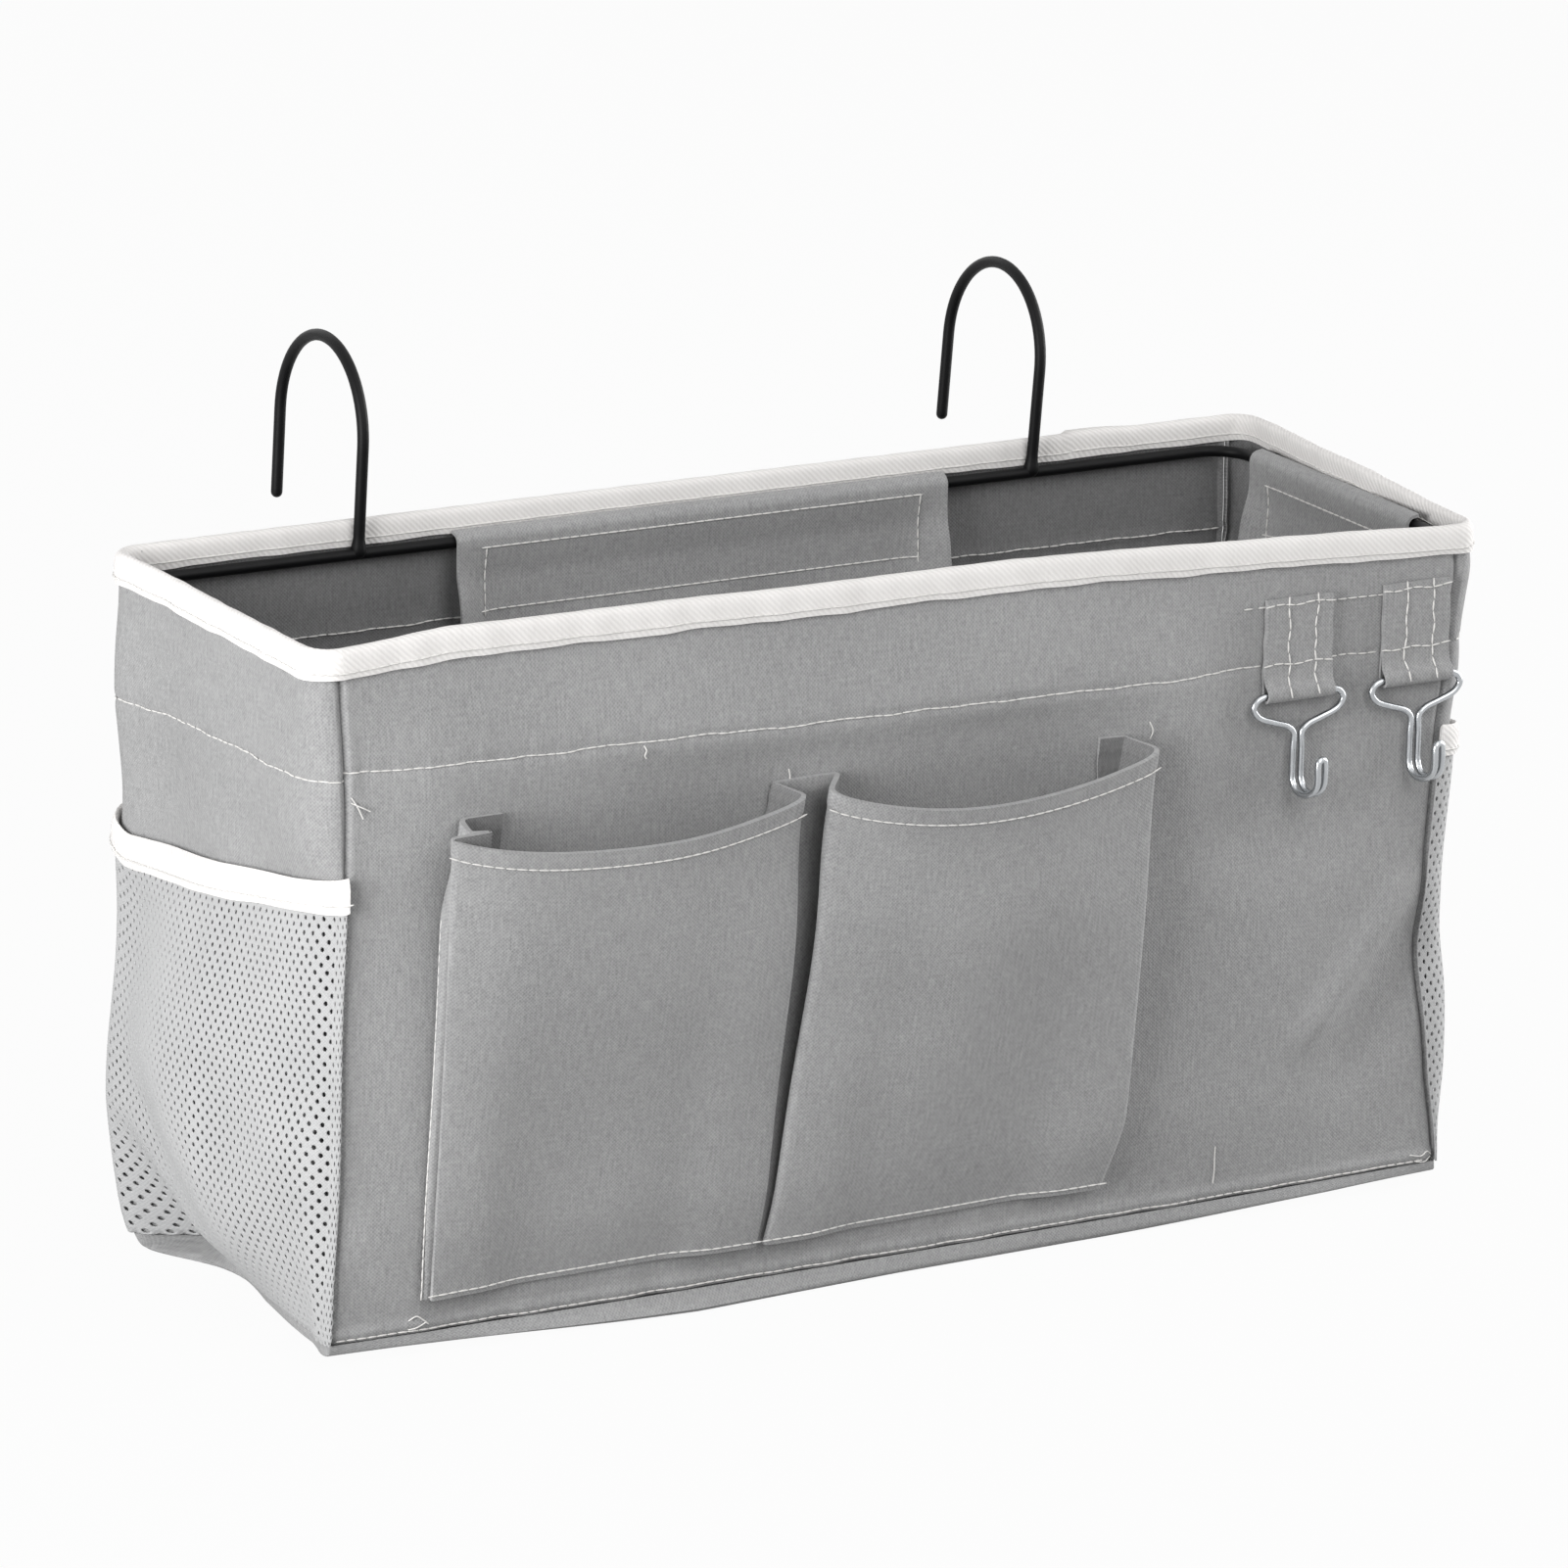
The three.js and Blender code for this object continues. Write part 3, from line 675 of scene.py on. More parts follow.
# Bright zinc plating on drawn wire shows streaks along the wire and cloudy patches
ZINC = Finish(
    "bright_zinc_plating", "#8f9193", "#cdd0d3",
    (Grain(12.0, 0.5, 0.7), Grain(3.0, 3.0, 0.6)),
    0.28, 0.1, 0.02, sockets=(("Metallic", 1.0),),
)


# Recipes for what repeats

def new_recipe(name: str, reals: Sequence[str], counts: Sequence[str] = ()) -> tuple[Tree, Any]:
    """Starts a geometry node tree with named inputs, one of them its material.

    Args:
        name: Name of the tree.
        reals: Names of the inputs that take a real number.
        counts: Names of the inputs that take a whole number.

    Returns:
        The tree and the output sockets of its input node.
    """
    tree = bpy.data.node_groups.new(name, "GeometryNodeTree")
    kinds = {"Geometry": "NodeSocketGeometry", **dict.fromkeys(reals, "NodeSocketFloat")}
    kinds.update(dict.fromkeys(counts, "NodeSocketInt"), Material="NodeSocketMaterial")
    for label, kind in kinds.items():
        tree.interface.new_socket(label, in_out="INPUT", socket_type=kind)
    tree.interface.new_socket("Geometry", in_out="OUTPUT", socket_type="NodeSocketGeometry")
    return tree, add_node(tree, "NodeGroupInput").outputs


def end_recipe(tree: Tree, geometry: Any, given: Any) -> Tree:
    """Ends a tree in real geometry with its material.

    Args:
        tree: The tree.
        geometry: Node that gives the geometry.
        given: Output sockets of the tree's input node.

    Returns:
        The tree.
    """
    smooth = add_node(tree, "GeometryNodeSetShadeSmooth", {0: geometry})
    real = add_node(tree, "GeometryNodeRealizeInstances", {0: smooth})
    dressed = add_node(tree, "GeometryNodeSetMaterial", {"Geometry": real, "Material": given["Material"]})
    add_node(tree, "NodeGroupOutput", {0: dressed})
    return tree


def applied(source: Object) -> Mesh:
    """Turns an object with its modifiers into a plain mesh.

    Args:
        source: The object, which is removed.

    Returns:
        The mesh.
    """
    evaluated = source.evaluated_get(bpy.context.evaluated_depsgraph_get())
    mesh = bpy.data.meshes.new_from_object(evaluated)
    started = source.data
    bpy.data.objects.remove(source)
    bpy.data.meshes.remove(started)
    return mesh


def run_recipe(tree: Tree, values: dict[str, Any], lines: Mesh | None = None) -> Mesh:
    """Runs a tree and keeps the result as a plain mesh.

    Args:
        tree: The tree.
        values: Input values by name.
        lines: Mesh that the tree starts from, which is removed. Without it the tree starts from nothing.

    Returns:
        The mesh.
    """
    source = new_object(tree.name, bpy.data.meshes.new(tree.name) if lines is None else lines)
    modifier = source.modifiers.new(tree.name, "NODES")
    modifier.node_group = tree
    for item in tree.interface.items_tree:
        if item.item_type == "SOCKET" and item.in_out == "INPUT" and item.name in values:
            modifier[item.identifier] = values[item.name]
    return applied(source)


def vertex_places(mesh: Mesh) -> Array:
    """Gives the places of a mesh's vertices in mm."""
    spots = np.empty(len(mesh.vertices) * 3)
    mesh.vertices.foreach_get("co", spots)
    return spots.reshape(-1, 3) / MM


def place_vertices(mesh: Mesh, points: Array) -> None:
    """Moves a mesh's vertices to points in mm."""
    mesh.vertices.foreach_set("co", (points * MM).ravel())
    mesh.update()


def stitch_recipe() -> Tree:
    """Builds the tree that lays stitches along lines of edges.

    Returns:
        The tree.
    """
    tree, given = new_recipe("stitch_rows", ("Pitch", "Length", "Thread"))
    lines = add_node(tree, "GeometryNodeMeshToCurve", {0: given["Geometry"]})
    spacing = {"Curve": lines, "Length": given["Pitch"]}
    places = add_node(tree, "GeometryNodeCurveToPoints", spacing, mode="LENGTH")
    ahead = {"Vector": places.outputs["Tangent"]}
    turn = add_node(tree, "FunctionNodeAlignRotationToVector", ahead, axis="Z")
    short, long = STITCH_SPREAD
    spread = add_node(tree, "FunctionNodeRandomValue", {2: short, 3: long, "Seed": 7}, data_type="FLOAT")
    along = maths(tree, "MULTIPLY", given["Length"], spread.outputs[1])
    size = add_node(tree, "ShaderNodeCombineXYZ", {0: given["Thread"], 1: given["Thread"], 2: along})
    stitch = add_node(tree, "GeometryNodeMeshUVSphere", {"Segments": 6, "Rings": 5, "Radius": 0.5})
    feeds = {"Points": places, "Instance": stitch, "Rotation": turn, "Scale": size}
    return end_recipe(tree, add_node(tree, "GeometryNodeInstanceOnPoints", feeds), given)


def net_recipe() -> Tree:
    """Builds the tree that knits a flat net: a lattice on its corner with a rounded hole in each cell.

    Returns:
        The tree.
    """
    tree, given = new_recipe("knitted_net", ("Width", "Height", "Pitch", "Hole"))
    width, height, pitch = (given[label] for label in ("Width", "Height", "Pitch"))
    count = maths(tree, "CEIL", maths(tree, "DIVIDE", maths(tree, "ADD", width, height), pitch))
    side = maths(tree, "MULTIPLY", count, pitch)
    marks = maths(tree, "ADD", count, 1.0)
    cells = {"Size X": side, "Size Y": side, "Vertices X": marks, "Vertices Y": marks}
    lattice = add_node(tree, "GeometryNodeMeshGrid", cells)
    halves = [maths(tree, "MULTIPLY", size, 0.5) for size in (width, height)]
    middle = add_node(tree, "ShaderNodeCombineXYZ", dict(enumerate(halves)))
    on_corner = {"Geometry": lattice, "Translation": middle, "Rotation": (0.0, 0.0, math.radians(45.0))}
    turned = add_node(tree, "GeometryNodeTransform", on_corner)
    spot = add_node(tree, "GeometryNodeInputPosition")
    from_middle = add_node(tree, "ShaderNodeVectorMath", {0: spot, 1: middle}, operation="SUBTRACT")
    far = add_node(tree, "ShaderNodeVectorMath", {0: from_middle}, operation="ABSOLUTE")
    axes = add_node(tree, "ShaderNodeSeparateXYZ", {0: far})
    past = [maths(tree, "GREATER_THAN", axes.outputs[i], half) for i, half in enumerate(halves)]
    outside = add_node(tree, "FunctionNodeBooleanMath", dict(enumerate(past)), operation="OR")
    spare = {"Geometry": turned, "Selection": outside}
    cut = add_node(tree, "GeometryNodeDeleteGeometry", spare, domain="FACE")
    each = {"Mesh": cut, "Offset Scale": 0.0, "Individual": True}
    raised = add_node(tree, "GeometryNodeExtrudeMesh", each, mode="FACES")
    top = raised.outputs["Top"]
    smaller = {"Geometry": raised, "Selection": top, "Scale": given["Hole"]}
    shrunk = add_node(tree, "GeometryNodeScaleElements", smaller, domain="FACE")
    inner = {"Geometry": shrunk, "Selection": top}
    holed = add_node(tree, "GeometryNodeDeleteGeometry", inner, domain="FACE")
    soft = add_node(tree, "GeometryNodeSubdivisionSurface", {"Mesh": holed, "Level": 1})
    return end_recipe(tree, soft, given)


def pile_recipe() -> Tree:
    """Builds the tree that sets small wire loops in rows on a flat strip.

    Returns:
        The tree.
    """
    reals = ("Length", "Height", "Loop", "Wire", "Swing")
    tree, given = new_recipe("closing_pile", reals, ("Columns", "Rows"))
    labels = {"Size X": "Length", "Size Y": "Height", "Vertices X": "Columns", "Vertices Y": "Rows"}
    spots = add_node(tree, "GeometryNodeMeshGrid", {key: given[label] for key, label in labels.items()})
    half_turn = {"Resolution": 6, "Radius": given["Loop"], "Sweep Angle": math.pi}
    arch = add_node(tree, "GeometryNodeCurveArc", half_turn)
    wire = add_node(tree, "GeometryNodeCurvePrimitiveCircle", {"Resolution": 4, "Radius": given["Wire"]})
    loop = add_node(tree, "GeometryNodeCurveToMesh", {0: arch, "Profile Curve": wire})
    upended = {"Geometry": loop, "Rotation": (math.pi / 2.0, 0.0, 0.0)}
    upright = add_node(tree, "GeometryNodeTransform", upended)
    less = maths(tree, "MULTIPLY", given["Swing"], -1.0)
    either_way = {2: less, 3: given["Swing"], "Seed": 3}
    swing = add_node(tree, "FunctionNodeRandomValue", either_way, data_type="FLOAT")
    turn = add_node(tree, "ShaderNodeCombineXYZ", {2: swing.outputs[1]})
    feeds = {"Points": spots, "Instance": upright, "Rotation": turn}
    return end_recipe(tree, add_node(tree, "GeometryNodeInstanceOnPoints", feeds), given)


# The box's form

@dataclass(frozen=True)
class Box:
    """Sizes of the cloth box in mm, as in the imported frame."""

    width: float = 380.0
    depth: float = 130.0
    height: float = 210.0
    corner: float = 8.0
    cloth: float = 1.2
    base_seam: float = 6.0
    base_turn: float = 4.5
    gap: float = 0.3
    hem_z: float = 170.0
    tape_fold: float = 1.3
    long_flap: float = 166.0
    short_flap: float = 88.0
    key_x: Pair = (131.0, 172.0)

    @property
    def wall_low(self) -> float:
        """Height of the walls' lower edge."""
        return self.base_seam + self.gap

    @property
    def wall_high(self) -> float:
        """Height of the walls' upper edge, inside the rim tape."""
        return self.height - self.tape_fold


@dataclass(frozen=True)
class Outline:
    """Rounded rectangle seen from above, walked anticlockwise from the left end of its front side, in mm."""

    half_x: float
    half_y: float
    radius: float

    @property
    def long_side(self) -> float:
        """Length of the straight part of the front."""
        return 2.0 * (self.half_x - self.radius)

    @property
    def short_side(self) -> float:
        """Length of the straight part of an end."""
        return 2.0 * (self.half_y - self.radius)

    @property
    def arc(self) -> float:
        """Length of one rounded corner."""
        return 0.5 * math.pi * self.radius

    @property
    def end_length(self) -> float:
        """Length of an end with both of its corners."""
        return self.short_side + 2.0 * self.arc

    @property
    def length(self) -> float:
        """Length all round."""
        return 2.0 * (self.long_side + self.end_length)

    def start_of(self, wall: Wall) -> float:
        """Gives the run at which a wall's panel starts.

        Args:
            wall: The wall. The ends carry the corners.

        Returns:
            The distance from the start of the front.
        """
        return {
            Wall.FRONT: 0.0,
            Wall.RIGHT: self.long_side,
            Wall.BACK: self.long_side + self.end_length,
            Wall.LEFT: 2.0 * self.long_side + self.end_length,
        }[wall]

    def walk(self, run: Number, out: Number = 0.0) -> tuple[Array, Array]:
        """Gives points beside the outline.

        Args:
            run: Distance along the outline.
            out: Distance outside it.

        Returns:
            The x and the y of each point.
        """
        run, out = together(np.mod(run, self.length), out)
        x = np.zeros(run.shape)
        y = np.zeros(run.shape)
        half_x, half_y = self.half_x, self.half_y
        inner_x, inner_y = half_x - self.radius, half_y - self.radius
        starts = ((-inner_x, -half_y), (half_x, -inner_y), (inner_x, half_y), (-half_x, inner_y))
        centres = ((inner_x, -inner_y), (inner_x, inner_y), (-inner_x, inner_y), (-inner_x, -inner_y))
        at = 0.0
        for quarter in range(4):
            heading = quarter * math.pi / 2.0
            ahead = (math.cos(heading), math.sin(heading))
            straight = self.long_side if quarter % 2 == 0 else self.short_side
            on = (run >= at) & (run <= at + straight)
            x[on] = starts[quarter][0] + ahead[0] * (run[on] - at) + ahead[1] * out[on]
            y[on] = starts[quarter][1] + ahead[1] * (run[on] - at) - ahead[0] * out[on]
            at += straight
            on = (run > at) & (run < at + self.arc)
            angle = heading - math.pi / 2.0 + (run[on] - at) / self.radius
            x[on] = centres[quarter][0] + np.cos(angle) * (self.radius + out[on])
            y[on] = centres[quarter][1] + np.sin(angle) * (self.radius + out[on])
            at += self.arc
        return x, y


@dataclass(frozen=True)
class Settling:
    """How the soft box sags and swells away from a true one. Every sewn-on cloth moves with it, in mm."""

    front_swell: float = 2.2
    back_swell: float = 1.5
    end_swell: float = 7.0
    left_dent: float = 27.0
    corner_flat: float = 6.5
    right_arch: float = 6.0
    seam_hollow: float = 3.0
    shoulder: float = 3.0
    shoulder_top: float = 2.2
    rim_in: float = 1.2
    rim_droop: float = 4.5
    corner_lift: float = 3.5
    foot_spread: float = 1.5
    right_toe: float = 3.5
    right_tuck: float = 4.0
    left_toe: float = 3.0
    left_seam: float = 2.2
    back_corner: float = 3.5
    back_sag: float = 1.7
    nook_swell: float = 4.0
    nook_pull: float = 7.0
    nook_drop: float = 2.6
    edge_turn: float = 3.5
    mouth_dent: float = 5.0
    unrest: float = 0.8
    folds: tuple[Fold, ...] = (
        Fold(3.6, (174.0, 95.0), (137.0, 55.0), 6.0),
        Fold(-3.2, (186.0, 80.0), (150.0, 38.0), 11.0),
        Fold(1.2, (-176.0, 40.0), (-150.0, 10.0), 7.0),
    )
    rim_x: tuple[float, ...] = (
        -182.0, -172.0, -149.0, -123.0, -71.0, -45.0, 33.0, 59.0, 85.0, 111.0, 137.0, 163.0, 186.0,
    )
    rim_rise: tuple[float, ...] = (0.6, 1.2, 3.2, 2.8, 2.6, 2.0, 1.8, 1.0, 0.0, -1.3, -1.9, -1.0, -0.3)
    roll_x: tuple[float, ...] = (-186.0, -150.0, -95.0, -68.0, -40.0, 0.0, 60.0, 150.0, 186.0)
    roll_out: tuple[float, ...] = (1.0, 3.0, 6.0, 7.0, 5.5, 3.5, 2.5, 3.0, 1.0)

    def move(self, points: Array) -> Array:
        """Moves points of the true box to where the cloth hangs.

        Args:
            points: Points in mm, the last axis being x, y and z.

        Returns:
            The moved points.
        """
        x, y, z = (np.asarray(points, float)[..., i] for i in range(3))
        # How much a point belongs to each side, to the left back corner (nook) and to what the tabs leave
        front, back = ease(5.0, -55.0, y), ease(5.0, 55.0, y)
        front_seam = ease(-50.0, -64.0, y)
        left, right = ease(-120.0, -186.0, x), ease(120.0, 186.0, x)
        left_end, right_end = ease(-150.0, -188.0, x), ease(150.0, 188.0, x)
        nook = left_end * ease(20.0, 62.0, y)
        tabs = 1.0 - ease(88.0, 115.0, x) * ease(98.0, 124.0, z) * front
        free = ease(0.0, 25.0, z) * ease(205.0, 185.0, z) * tabs
        # Swelling between the edges that hold the cloth
        width = np.sin(math.pi * np.clip((x + 182.0) / 364.0, 0.0, 1.0))
        depth = np.sin(math.pi * np.clip((y + 65.0) / 130.0, 0.0, 1.0))
        height = np.sin(math.pi * np.clip(z / 205.0, 0.0, 1.0))
        belly = np.sin(math.pi * np.clip(z / 135.0, 0.0, 1.0) ** 0.8)
        hollow = np.sin(math.pi * np.clip((z - 15.0) / 135.0, 0.0, 1.0)) ** 2
        # The dent of the left foot, which is flatter on the base than on the wall
        arch = ease(66.0, 43.0, y) * ease(-75.0, 43.0, y)
        foot = 0.55 * ease(66.0, 12.0, y) * ease(-60.0, 12.0, y)
        arch = foot + (arch - foot) * ease(0.8, 6.0, z)
        # The right front seam draws in at mid height and leans out above and at its toe, not past its corner
        toe = self.right_toe * ease(38.0, 8.0, z) * right_end
        past = np.clip((x - 182.0) / 8.0, 0.0, 1.0)
        spread = self.foot_spread * ease(70.0, 0.0, z) * right_end
        lean = self.shoulder * ease(140.0, 165.0, z) + self.shoulder_top * ease(165.0, 195.0, z)
        dx = self.end_swell * depth * belly * (right_end - left_end)
        dx -= self.seam_hollow * hollow * right * ease(-28.0, -62.0, y)
        dx += right_end * front * (lean - self.rim_in * ease(195.0, 207.0, z))
        dx += (spread + toe * (1.0 - past)) * front_seam
        dx -= self.left_toe * ease(55.0, 5.0, z) * left_end * front_seam
        dx += self.back_corner * ease(60.0, 205.0, z) * right_end * back
        # The left back corner waves in and out, the left foot is pushed in
        dx -= nook * ease(100.0, 130.0, z) * (1.2 + 1.4 * mound(z, 178.0, 22.0) - 0.5 * mound(z, 140.0, 12.0))
        dx += self.left_dent * arch * np.exp(-z / 34.0) * ease(-100.0, -188.0, x)
        dx -= (self.right_tuck * ease(65.0, 5.0, z) * right_end * ease(-64.0, -50.0, y) + toe * past) * front
        dx += self.left_seam * mound(z, 150.0, 40.0) * left_end * front_seam
        # The left front corner is pressed flat below the flap
        turned = np.clip((-10.0 - y) / 47.0, 0.0, 1.0) * np.clip((-182.0 - x) / 8.0, 0.0, 1.0)
        dx += self.corner_flat * turned * ease(158.0, 128.0, z)
        dx -= self.nook_swell * nook * mound(z, 34.0, 26.0)
        stir = self.unrest * ripple(y, z, 60.0, 5) * (left - right)
        dx += stir * ease(0.0, 25.0, z) * ease(205.0, 185.0, z)
        # The long walls swell; the front is dented behind the pockets' mouths and turns out from its edges
        dy = -self.front_swell * width * height * front * tabs + self.back_swell * width * height * back
        dents = mound(x, -55.0, 42.0) + mound(x, 30.0, 42.0)
        dy += self.mouth_dent * dents * mound(z, 146.0, 24.0) * ease(175.0, 162.0, z) * front * tabs
        turn = self.edge_turn * ease(-186.0, -150.0, x) * ease(182.0, 120.0, x)
        dy -= turn * ease(4.0, 40.0, z) * ease(204.0, 165.0, z) * front * tabs
        dy -= self.unrest * ripple(x, z, 75.0, 11) * front * free * (1.0 - left) * (1.0 - right)
        dy += self.unrest * ripple(x, z, 80.0, 23) * back * free * (1.0 - left) * (1.0 - right)
        for crease in self.folds:
            dy -= crease.lift(x, z) * front
        # The base rolls out under the front, and the left back corner is drawn forward at the foot
        dy -= np.interp(x, self.roll_x, self.roll_out) * ease(6.2, 1.2, z) * ease(-50.0, -60.0, y)
        dy -= self.nook_pull * nook * np.exp(-z / 12.0)
        # The right end and the front corners lift off the table, the rim rises and droops, the nook sags
        dz = self.right_arch * mound(y, 0.0, 32.0) * np.exp(-z / 38.0) * ease(140.0, 188.0, x)
        dz += self.corner_lift * ease(60.0, 185.0, np.abs(x)) * np.exp(-z / 4.0) * front
        dz -= self.rim_droop * ease(105.0, 190.0, x) ** 2 * front * ease(176.0, 204.0, z)
        dz += np.interp(x, self.rim_x, self.rim_rise) * front * ease(172.0, 205.0, z)
        sag = self.back_sag * mound(z, 160.0, 30.0) + self.nook_drop * ease(0.5, 6.0, z) * ease(40.0, 6.0, z)
        dz -= nook * sag
        return np.stack([x + dx, y + dy, z + dz], axis=-1)


# Sewing

@dataclass
class Sewing:
    """Rows of stitches, gathered by body and laid together at the end, in mm."""

    pitch: float = 3.2
    length: float = 3.55
    thread: float = 0.58
    rows: dict[str, list[Array]] = field(default_factory=dict)

    def row(self, body: str, points: Array) -> None:
        """Adds one row of stitches that ride on a body, given by points in mm."""
        self.rows.setdefault(body, []).append(np.asarray(points, float).reshape(-1, 3))

    def build(self, shop: Workshop) -> None:
        """Lays all rows, one mesh for each body.

        Args:
            shop: The shared workshop.
        """
        tree = stitch_recipe()
        for body, rows in self.rows.items():
            points = np.concatenate(rows)
            edges: list[tuple[int, int]] = []
            at = 0
            for row in rows:
                edges.extend((at + k, at + k + 1) for k in range(len(row) - 1))
                at += len(row)
            lines = bpy.data.meshes.new("stitch_lines")
            lines.from_pydata((points * MM).tolist(), edges, [])
            values = {
                "Pitch": self.pitch * MM,
                "Length": self.length * MM,
                "Thread": self.thread * MM,
                "Material": shop.thread,
            }
            mesh = run_recipe(tree, values, lines)
            shop.mount(new_object(f"{body}_stitching", mesh), Slot.TAPE, body)


@dataclass
class Workshop:
    """What all sub-assemblies share: sizes, finishes, sewing, and how a piece joins the frame."""

    box: Box
    outline: Outline
    settling: Settling
    finishes: dict[Slot, bpy.types.Material]
    thread: bpy.types.Material
    sewing: Sewing

    def hang(self, x: Number, y: Number, z: Number) -> Array:
        """Gives points of the true box where the hanging cloth takes them, in mm."""
        return self.settling.move(np.stack(together(x, y, z), axis=-1))

    def mount(self, piece: Object, slot: Slot, body: str, nodes: Sequence[str] = ()) -> Object:
        """Dresses a piece and makes it ride on a body.

        Args:
            piece: The piece.
            slot: Its material slot.
            body: The body it rides on.
            nodes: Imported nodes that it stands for.

        Returns:
            The piece.
        """
        self.dress(piece, slot, nodes)
        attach(piece, body)
        return piece

    def dress(self, piece: Object, slot: Slot, nodes: Sequence[str] = ()) -> None:
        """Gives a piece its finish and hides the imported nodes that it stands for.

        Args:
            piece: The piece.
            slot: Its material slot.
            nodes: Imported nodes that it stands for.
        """
        if not piece.data.materials:
            piece.data.materials.append(self.finishes[slot])
        if nodes:
            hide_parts(*nodes)
        LOG.info("%s: %d faces, %s", piece.name, len(piece.data.polygons), slot.value)


# Sub-assemblies

@dataclass
class Shell:
    """The sewn box: four walls that hang from the rim and the base, in mm."""

    shop: Workshop
    cell: float = 2.6
    edge_cell: float = 0.5
    edge_band: float = 6.0
    foot_cell: float = 0.8
    foot_band: float = 9.0
    base_cell: float = 4.0
    base_edge_cell: float = 0.7
    base_edge_band: float = 14.0
    seam_dip: float = 1.5
    seam_gap: float = 0.12
    hem_dip: float = 0.4
    hem_band: Pair = (-5.0, 7.0)
    hem_lines: int = 15
    hem_low_run: float = 297.0
    hem_rises: tuple[float, ...] = (4.7, 0.0, 0.0, 5.0, 6.5, -2.3, 2.4)
    pucker: float = 0.22
    pucker_wave: float = 8.5
    tab_clear: float = 12.0
    tab_tail: float = 17.0
    tab_row_z: float = 188.6
    row_step: float = 2.0
    row_out: float = 0.2
    foot_row: float = 1.4
    foot_row_out: float = 0.3
    foot_row_margin: float = 3.0

    @property
    def tab_runs(self) -> list[float]:
        """Where the key hooks' tabs are along the outline."""
        return [x + self.shop.outline.long_side / 2 for x in self.shop.box.key_x]

    def hem(self, run: Number) -> Array:
        """Gives the height of the hem row, which was sewn by eye.

        Args:
            run: Distance along the outline.

        Returns:
            The height.
        """
        outline = self.shop.outline
        back, left = outline.start_of(Wall.BACK), outline.start_of(Wall.LEFT)
        marks = (0.0, self.hem_low_run, back - 0.5, back, left - 0.5, left, outline.length)
        return np.interp(np.mod(run, outline.length), marks, self.shop.box.hem_z + np.array(self.hem_rises))

    def relief(self, run: Number, z: Number) -> Array:
        """Gives the small relief that the sewing pulls into the cloth.

        Args:
            run: Distance along the outline.
            z: Height.

        Returns:
            Distance out of the true wall.
        """
        box, outline = self.shop.box, self.shop.outline
        run, z = together(run, z)
        seams = [outline.start_of(wall) for wall in Wall] + [outline.length]
        nearest = np.min([np.abs(run - seam) for seam in seams], axis=0)
        out = -self.seam_dip * mound(nearest, 0.0, 1.0)
        # The hem row dips and puckers the cloth beside it
        below = z - self.hem(run)
        out -= self.hem_dip * mound(below, 0.0, 1.3)
        wander = 2.0 * ripple(run, 0.0 * z, 40.0, 2)
        out += self.pucker * np.sin(2.0 * math.pi * run / self.pucker_wave + wander) * mound(below, 0.0, 6.0)
        # The base seam gathers all walls and rolls the long ones
        out += 0.35 * ripple(run, z * 0.3, 14.0, 4) * mound(z, box.base_seam, 14.0)
        on_long = (run < outline.long_side) | (
            (run > outline.start_of(Wall.BACK)) & (run < outline.start_of(Wall.LEFT))
        )
        out += on_long * (0.8 * mound(z, box.base_seam + 3.2, 1.6) - 0.3 * mound(z, box.base_seam, 1.0))
        return out

    def surface(self, run: Number, z: Number, off: Number = 0.0) -> Array:
        """Gives points on or beside the walls as they hang.

        Args:
            run: Distance along the outline.
            z: Height on the true box.
            off: Distance out of the cloth's outer side.

        Returns:
            Points in mm.
        """
        run, z, off = together(run, z, off)
        x, y = self.shop.outline.walk(run, self.relief(run, z) + off)
        return self.shop.hang(x, y, z)

    def panel(self, wall: Wall) -> Object:
        """Makes one wall.

        Args:
            wall: The wall.

        Returns:
            The cloth.
        """
        box, outline = self.shop.box, self.shop.outline
        start = outline.start_of(wall)
        width = outline.long_side if wall.long else outline.end_length
        half_gap = self.seam_gap / 2
        run = spaced(start + half_gap, start + width - half_gap, self.cell, self.edge_cell, self.edge_band)
        hem = np.linspace(box.hem_z + self.hem_band[0], box.hem_z + self.hem_band[1], self.hem_lines)
        rows = spaced(box.wall_low, box.wall_high, self.cell, self.foot_cell, self.foot_band)
        z = np.unique(np.concatenate([rows, hem]))
        grid = self.surface(run[None, :], z[:, None])
        node = f"{wall.label}_panel" if wall.long else f"{wall.label}_side_panel"
        cloth = cloth_object(f"{wall.label}_wall_cloth", grid, flat_grid(run, z), box.cloth)
        self.shop.mount(cloth, Slot.CLOTH, "caddy", [node])
        return cloth

